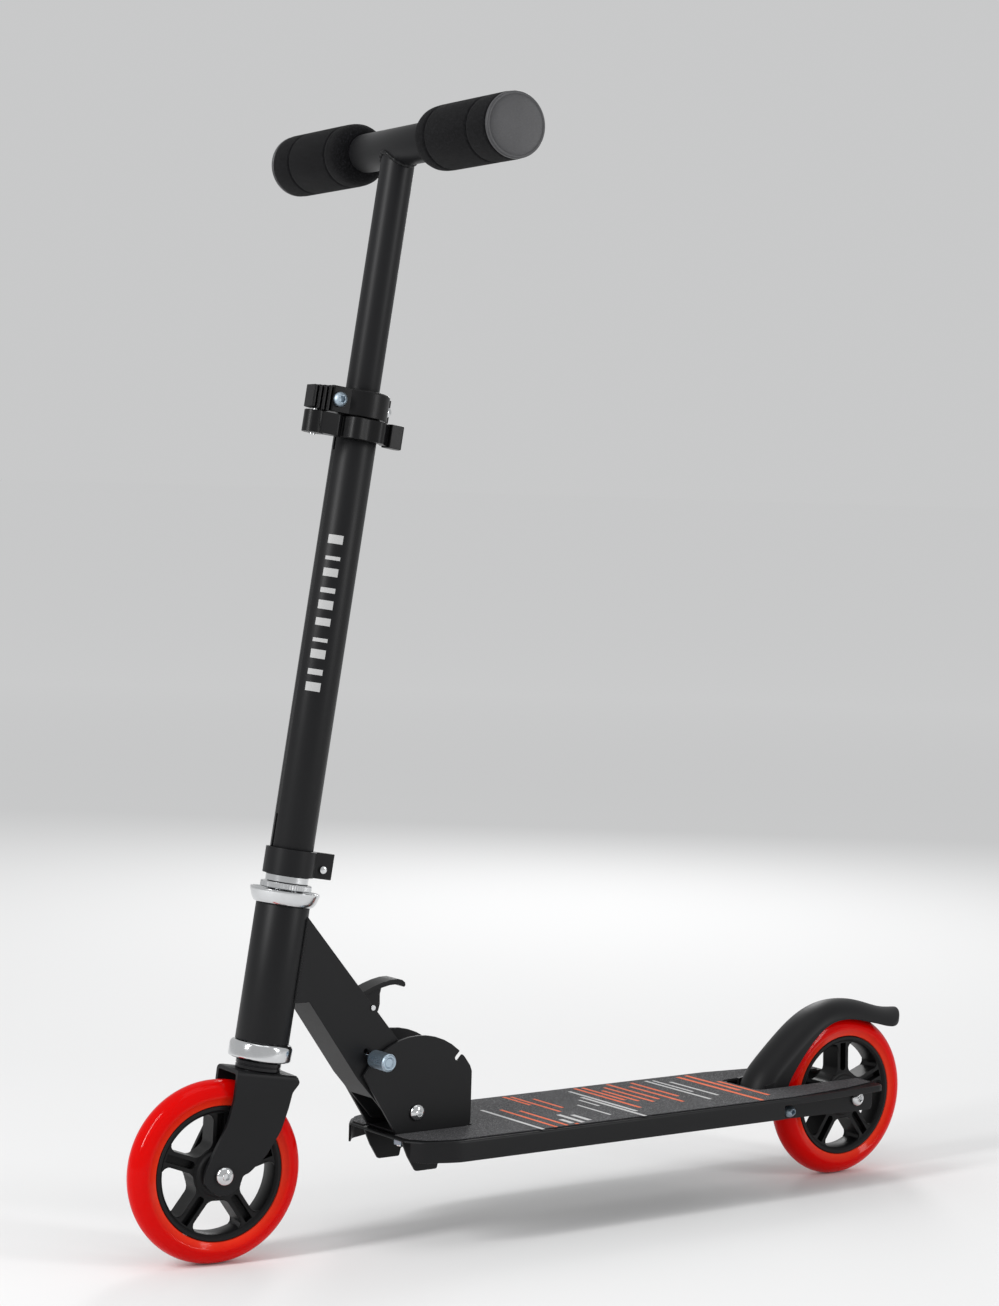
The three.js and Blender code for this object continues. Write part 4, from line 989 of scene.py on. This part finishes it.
def button_bolt(node, axis, socket=0.38):
    """A domed bolt head with a hex socket, on its shank."""
    points = [axis.inverse @ vertex.co for vertex in CAD[node].data.vertices]
    radius = max(point.xy.length for point in points)
    low, high = min(point.z for point in points), max(point.z for point in points)
    seat = min(point.z for point in points if point.xy.length > 0.9 * radius)
    shank = max(point.xy.length for point in points if point.z < seat - 1 * MM)
    bulge = high - seat - 0.5 * MM
    dome = [
        (radius * math.cos(t), seat + 0.5 * MM + bulge * math.sin(t))
        for t in (math.radians(7 * i) for i in range(10))
    ]
    profile = [
        (0, low), (shank - 0.4 * MM, low), (shank, low + 0.4 * MM), (shank, seat),
        (radius - 0.3 * MM, seat), *dome, (radius * 0.42, high), (0, high),
    ]
    piece = place_piece(f"{node}_turned", lathe(profile, closed=False, steps=72), "bright_steel", axis)
    cutter = bmesh.new()
    bmesh.ops.create_cone(
        cutter, cap_ends=True, segments=6, radius1=radius * socket, radius2=radius * socket,
        depth=4.6 * MM)
    bmesh.ops.translate(cutter, vec=(0, 0, high), verts=cutter.verts)
    cut_away(piece, cutter, axis)
    round_edges(piece, 0.15 * MM, 2, 40)
    stand_for(piece, node)


class SCOOTER_OT_clamp_and_lock(bpy.types.Operator):
    """Height clamp, its lever, the fold lock and every bolt and nut"""

    bl_idname = "scooter.clamp_and_lock"
    bl_label = "Clamp, Lock and Bolts"

    def execute(self, context):
        make_lock()
        hinge = middle("fold_hinge_bolt")
        button_bolt("fold_hinge_bolt", Axis((hinge.x, 0, hinge.z), (0, 1, 0), (1, 0, 0)))
        button_bolt("rear_axle_bolt", REAR_WHEEL)
        button_bolt("front_axle_bolt", FRONT_WHEEL)
        eased_copy("clamp_collar", "clamp_black", 0.4 * MM)
        eased_copy("clamp_lever", "clamp_black", 0.5 * MM)
        bright = [
            "clamp_rivet", "clamp_lever_pin", "fold_hinge_nut",
            "fold_hinge_sleeve", "lever_pivot_pin", "bracket_bolt_1", "bracket_bolt_2",
            "rear_axle_nut", "rear_axle_spacer_left", "rear_axle_spacer_right",
            "front_axle_nut", "front_axle_spacer_left",
            "front_axle_spacer_right", "brake_spring",
        ]
        zinc = [
            "clamp_bolt", "clamp_nut", "bracket_nut_1", "bracket_nut_2", "brake_pivot_bolt",
            "brake_pivot_nut",
        ]
        for node in bright:
            eased_copy(node, "bright_steel", 0.2 * MM)
        for node in zinc:
            eased_copy(node, "zinc_blue", 0.2 * MM)
        return {"FINISHED"}


# ------------------------------------------------------------------ frame and deck
def make_head_welds():
    """Two beads where the down tube's sides meet the head tube."""
    radius = HEAD.measure("head_tube")[3]
    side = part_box("down_tube")[1].y
    back = -math.sqrt(radius ** 2 - side ** 2)
    points = [HEAD.inverse @ vertex.co for vertex in CAD["down_tube"].data.vertices]
    touching = [point.z for point in points if abs(point.xy.length - radius) < 1 * MM]
    start, end = min(touching) + 3 * MM, max(touching) - 2 * MM
    steps = int((end - start) / (0.35 * MM))
    for name, y in (("head_weld_left", side), ("head_weld_right", -side)):
        line = [
            HEAD.at(back - 1.0 * MM, y - math.copysign(0.2 * MM, y), start + (end - start) * i / steps)
            for i in range(steps + 1)
        ]
        weld_bead(name, line, "front_frame")


def make_release_lever():
    """A bent thumb strip on a web, whose forked tail holds the locking pin."""
    pivot = middle("lever_pivot_pin")
    pin = middle("lock_pin")
    thick = 4.4
    back = [(9, 9.5), (1, 12.6), (-7, 15.6), (-15, 18), (-23, 19.6), (-30, 19.8), (-34.5, 18.6)]
    tip = [(-37.2, 16.4), (-37.6, 14), (-36.2, 12.6)]
    under = [(x + 0.8, z - thick) for x, z in reversed(back)]
    strip = [(pivot.x + x * MM, pivot.z + z * MM) for x, z in back + tip + under]
    web = [(6.5, 7), (3, 10), (-12, 14.6), (-17, 14), (-15.4, 8), (-15.6, 0), (-14, -6), (-8, -8),
           (-6, -6)]
    slot = 2.2 * MM
    prong = 5.4 * MM
    foot = pin.z - 11 * MM
    tail = [
        (pin.x - prong, pin.z + 4 * MM), (pin.x - prong, foot), (pin.x - slot, foot),
        *arc((pin.x, pin.z), slot, 180, 0, 8),
        (pin.x + slot, foot), (pin.x + prong, foot), (pin.x + prong, pin.z + 6 * MM),
    ]
    body = [(pivot.x + x * MM, pivot.z + z * MM) for x, z in web] + tail
    low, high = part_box("release_lever")
    tail_half = 5 * MM
    parts = joined(plate(strip, low.y, high.y), plate(body, -tail_half, tail_half))
    piece = place_piece("thumb_lever", parts, "painted_black")
    round_edges(piece, 0.7 * MM, 3, 30)
    stand_for(piece, "release_lever")


class SCOOTER_OT_frame(bpy.types.Operator):
    """Fork, down tube, fold bracket, chassis, deck pan and release lever"""

    bl_idname = "scooter.frame"
    bl_label = "Frame and Deck"

    def execute(self, context):
        steel = ("fork", "down_tube", "fold_bracket", "chassis_channel", "deck_pan")
        for node in steel:
            eased_copy(node, "painted_black")
        make_head_welds()
        make_release_lever()
        return {"FINISHED"}


# The printed bars as (x ahead of the rear axle, left end, right end, width) in millimetres.
SILVER_BARS = [
    (381, 64, -22, 3.4), (273, 63, -24, 3.6), (267, 44, -49, 3.4), (296, 45, 0, 2.4),
    (282, 12, -16, 2.4), (178, 35, -54, 3.2), (171, 3, -52, 2.8), (161, 25, -40, 3.0),
    (345, 56, 40, 4.5), (335, 58, 24, 4.5), (325, 54, 30, 4.5),
]
ORANGE_BARS = [
    (366, 62, -15, 3.0), (354, 61, -4, 3.0), (343, 61, 58, 3.0), (332, -19, -57, 3.0),
    (326, 15, -54, 3.0), (314, 3, -38, 3.0), (255, 34, -57, 3.4), (247, 3, -56, 3.4),
    (239, 12, -38, 3.2), (229, 20, -48, 3.2), (218, 14, -58, 3.4), (206, 32, -41, 3.4),
    (195, 12, -53, 3.4), (141, 61, -54, 4.2), (130, 18, -56, 4.2), (121, 46, -22, 3.6),
]


def bar_sheet(bars, top, height):
    """Thin rounded bars lying on the deck sheet."""
    rear_axle = REAR_WHEEL.matrix.to_translation().x
    parts = []
    for x, left, right, width in bars:
        bm = bmesh.new()
        bmesh.ops.create_cube(bm, size=1)
        bmesh.ops.scale(bm, vec=(width * MM, (left - right) * MM, height), verts=bm.verts)
        centre = (rear_axle + x * MM, (left + right) / 2 * MM, top + height / 2)
        bmesh.ops.translate(bm, vec=centre, verts=bm.verts)
        parts.append(bm)
    return joined(*parts)


class SCOOTER_OT_deck_sheet(bpy.types.Operator):
    """Abrasive sheet and its printed bars"""

    bl_idname = "scooter.deck_sheet"
    bl_label = "Deck Sheet"

    def execute(self, context):
        eased_copy("grip_tape", "grip_tape", 0.2 * MM)
        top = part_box("grip_tape")[1].z
        height = context.scene.scooter_sizes.print_height
        for name, bars, finish in (
            ("silver_bars", SILVER_BARS, "silver_print"),
            ("orange_bars", ORANGE_BARS, "orange_print"),
        ):
            piece = place_piece(name, bar_sheet(bars, top - 0.02 * MM, height), finish)
            add_to(piece, "deck")
        return {"FINISHED"}


# ------------------------------------------------------------------ brake fender
# Stations from the foot to the tail, as the crown's and the skirt's angle round the rear axle in
# degrees and gap over the tyre in millimetres, and the fender's half width in millimetres.
FENDER_STATIONS = [
    (4.1, 37.3, 5.8, 4.4, 19.7), (8.5, 36.0, 9.0, 4.4, 19.7), (13.0, 33.8, 12.8, 4.2, 19.7),
    (18.1, 30.6, 17.7, 3.1, 19.7), (28.0, 23.2, 25.6, 0.3, 19.7), (40.3, 18.0, 36.7, -1.4, 19.7),
    (52.6, 16.0, 48.7, -1.3, 19.7), (64.3, 15.5, 60.3, 0.1, 19.7), (75.3, 15.2, 71.7, 0.7, 19.7),
    (86.0, 14.4, 84.0, -0.9, 19.7), (98.0, 13.7, 97.4, -3.0, 19.7), (108.3, 13.5, 108.7, -3.3, 19.7),
    (117.3, 14.7, 119.6, -0.6, 19.7), (123.7, 17.6, 127.7, 2.7, 19.7), (127.6, 20.8, 132.4, 7.6, 18.5),
    (130.4, 23.9, 134.8, 13.3, 15.4), (132.2, 26.3, 135.2, 19.4, 11.4), (133.3, 28.0, 135.0, 24.7, 6.6),
    (133.8, 28.6, 134.6, 27.1, 2.4),
]


def over_tyre(degrees, gap):
    """A point in the scooter's middle plane, some millimetres over the rear tyre."""
    reach = REAR_WHEEL.measure("rear_tyre")[3] + gap * MM
    turn = math.radians(degrees)
    return REAR_WHEEL.matrix.to_translation() + Vector(
        (reach * math.cos(turn), 0, reach * math.sin(turn)))


def fender_section(bm, crown, skirt, half):
    """A chain of edges from skirt to skirt: an arch, a soft shoulder and a flat side."""
    full = 19.7 * MM
    rise = 13 * MM
    flare = 0.3 * MM
    shoulder = math.radians(70)
    arch_steps, side_steps = 8, 3
    down = skirt - crown
    depth = down.length
    end = shoulder * min(1, half / full)
    arch_points = []
    for i in range(arch_steps + 1):
        turn = end * i / arch_steps
        drop = rise * (1 - math.cos(turn)) / (1 - math.cos(shoulder))
        arch_points.append((half * math.sin(turn) / math.sin(end), min(drop, depth)))
    y, drop = arch_points[-1]
    side = [
        (y + flare * i / side_steps, drop + (depth - drop) * i / side_steps)
        for i in range(1, side_steps + 1)
    ]
    one = arch_points + side
    whole = [(-y, drop) for y, drop in reversed(one[1:])] + one
    verts = [bm.verts.new(crown + down.normalized() * drop + Vector((0, y, 0))) for y, drop in whole]
    return [bm.edges.new(pair) for pair in zip(verts, verts[1:])]


def fender_ear(side):
    """A plate from the fender's foot down to its pivot."""
    pivot = middle("brake_pivot_bolt")
    outline = [
        (-7, -4), (-2.5, -7), (4, -7), (10, 3), (19.5, 13), (19.5, 23), (-1.5, 27), (-5.5, 15),
    ]
    points = [(pivot.x + x * MM, pivot.z + z * MM) for x, z in outline]
    return plate(points, *sorted((side * 17.1 * MM, side * 19.5 * MM)))


def make_fender():
    bm = bmesh.new()
    chains = [
        fender_section(bm, over_tyre(*station[:2]), over_tyre(*station[2:4]), station[4] * MM)
        for station in FENDER_STATIONS
    ]
    for near, far in zip(chains, chains[1:]):
        bmesh.ops.bridge_loops(bm, edges=near + far)
    bmesh.ops.recalc_face_normals(bm, faces=bm.faces)
    top = max(bm.faces, key=lambda face: face.calc_center_median().z)
    if top.normal.z < 0:
        bmesh.ops.reverse_faces(bm, faces=bm.faces)
    shell = place_piece("fender_shell", bm, "fender_black", smooth=80)
    smooth = shell.modifiers.new("Smooth", "SUBSURF")
    smooth.levels = smooth.render_levels = 2
    wall = shell.modifiers.new("Wall", "SOLIDIFY")
    wall.thickness = bpy.context.scene.scooter_sizes.fender_wall
    wall.offset = -1
    round_edges(shell, 0.7 * MM, 3, 50)
    stand_for(shell, "brake_fender")
    ears = place_piece("fender_ears", joined(fender_ear(1), fender_ear(-1)), "fender_black")
    round_edges(ears, 0.5 * MM)
    add_to(ears, "brake")


class SCOOTER_OT_fender(bpy.types.Operator):
    """Arched brake fender and the ears that hang it on its pivot"""

    bl_idname = "scooter.fender"
    bl_label = "Brake Fender"

    def execute(self, context):
        make_fender()
        return {"FINISHED"}


# ------------------------------------------------------------------ stage
def soft_light(name, place, target, size, power, colour=(1, 1, 1)):
    light = bpy.data.lights.new(name, "AREA")
    light.shape = "RECTANGLE"
    light.size, light.size_y = size
    light.energy = power
    light.color = colour
    lamp = bpy.data.objects.new(name, light)
    towards = Vector(target) - Vector(place)
    lamp.matrix_world = (
        Matrix.Translation(place) @ towards.to_track_quat("-Z", "Y").to_matrix().to_4x4())
    bpy.context.scene.collection.objects.link(lamp)


def make_camera():
    """A long lens low on the left front, level with the column."""
    place = Vector((1.6188, 2.0895, 0.6324))
    heading, pitch, roll = math.radians(36.62), math.radians(3.45), math.radians(1.69)
    forward = Vector((
        -math.sin(heading) * math.cos(pitch), -math.cos(heading) * math.cos(pitch),
        -math.sin(pitch)))
    right = forward.cross(Vector((0, 0, 1))).normalized()
    up = right.cross(forward)
    x = right * math.cos(roll) + up * math.sin(roll)
    y = up * math.cos(roll) - right * math.sin(roll)
    lens = bpy.data.cameras.new("camera")
    lens.lens = 87.43
    lens.sensor_width = 36
    lens.clip_end = 100
    camera = bpy.data.objects.new("camera", lens)
    camera.matrix_world = (
        Matrix.Translation(place) @ Matrix((x, y, -forward)).transposed().to_4x4())
    bpy.context.scene.collection.objects.link(camera)
    bpy.context.scene.camera = camera


def make_floor():
    bm = bmesh.new()
    bmesh.ops.create_circle(bm, cap_ends=True, segments=96, radius=60)
    mesh = bpy.data.meshes.new("floor")
    bm.to_mesh(mesh)
    bm.free()
    floor = bpy.data.objects.new("floor", mesh)
    bpy.context.scene.collection.objects.link(floor)
    finish = Finish("pale_floor", specular_ior_level=0.0)
    # The floor is painted paler away from the scooter: painted light standing in for lamp light that doesn't reach
    # the far floor.
    painted_far_light = finish.reach().ramp(0.8, 6)
    finish.feed("Base Color", finish.mix(painted_far_light, (0.8, 0.8, 0.8), (0.99, 0.99, 0.99)))
    finish.feed("Roughness", finish.noise(3, 2) * 0.1 + 0.8)
    mesh.materials.append(finish.material)


class SCOOTER_OT_stage(bpy.types.Operator):
    """Floor, soft studio light and camera"""

    bl_idname = "scooter.stage"
    bl_label = "Stage"

    def execute(self, context):
        make_camera()
        make_floor()
        world = context.scene.world or bpy.data.worlds.new("studio")
        context.scene.world = world
        world.use_nodes = True
        sky = world.node_tree.nodes["Background"]
        sky.inputs["Color"].default_value = (0.97, 0.975, 0.98, 1)
        sky.inputs["Strength"].default_value = 0.6
        aim = (0, 0, 0.4)
        soft_light("key_left", (2.2, 0.2, 1.5), aim, (0.3, 1.5), 34)
        soft_light("fill_right", (-1.2, 2.2, 1.1), aim, (0.4, 1.5), 20)
        soft_light("overhead", (0.1, 0.4, 2.8), aim, (1.6, 1.6), 8)
        soft_light("rim_back", (-1.3, -1.6, 1.5), aim, (0.4, 1.6), 14)
        context.scene.view_settings.view_transform = "Standard"
        return {"FINISHED"}


# ------------------------------------------------------------------ add-on
class SCOOTER_PT_panel(bpy.types.Panel):
    bl_idname = "SCOOTER_PT_panel"
    bl_label = "Kick Scooter"
    bl_space_type = "VIEW_3D"
    bl_region_type = "UI"
    bl_category = "Scooter"

    def draw(self, context):
        column = self.layout.column()
        for operator in OPERATORS:
            column.operator(operator.bl_idname)
        for group in (context.scene.scooter_sizes, context.scene.scooter_colours):
            for name in group.__annotations__:
                column.prop(group, name)


OPERATORS = [
    SCOOTER_OT_stage, SCOOTER_OT_wheels, SCOOTER_OT_column, SCOOTER_OT_handlebar,
    SCOOTER_OT_clamp_and_lock, SCOOTER_OT_frame, SCOOTER_OT_deck_sheet, SCOOTER_OT_fender,
]
CLASSES = [ScooterSizes, ScooterColours, *OPERATORS, SCOOTER_PT_panel]


def register():
    for cls in CLASSES:
        bpy.utils.register_class(cls)
    bpy.types.Scene.scooter_sizes = PointerProperty(type=ScooterSizes)
    bpy.types.Scene.scooter_colours = PointerProperty(type=ScooterColours)


def unregister():
    del bpy.types.Scene.scooter_colours
    del bpy.types.Scene.scooter_sizes
    for cls in reversed(CLASSES):
        bpy.utils.unregister_class(cls)


def main():
    register()
    FINISHES.update(make_finishes())
    for operator in OPERATORS:
        group, name = operator.bl_idname.split(".")
        getattr(getattr(bpy.ops, group), name)()


if __name__ == "__main__":
    main()
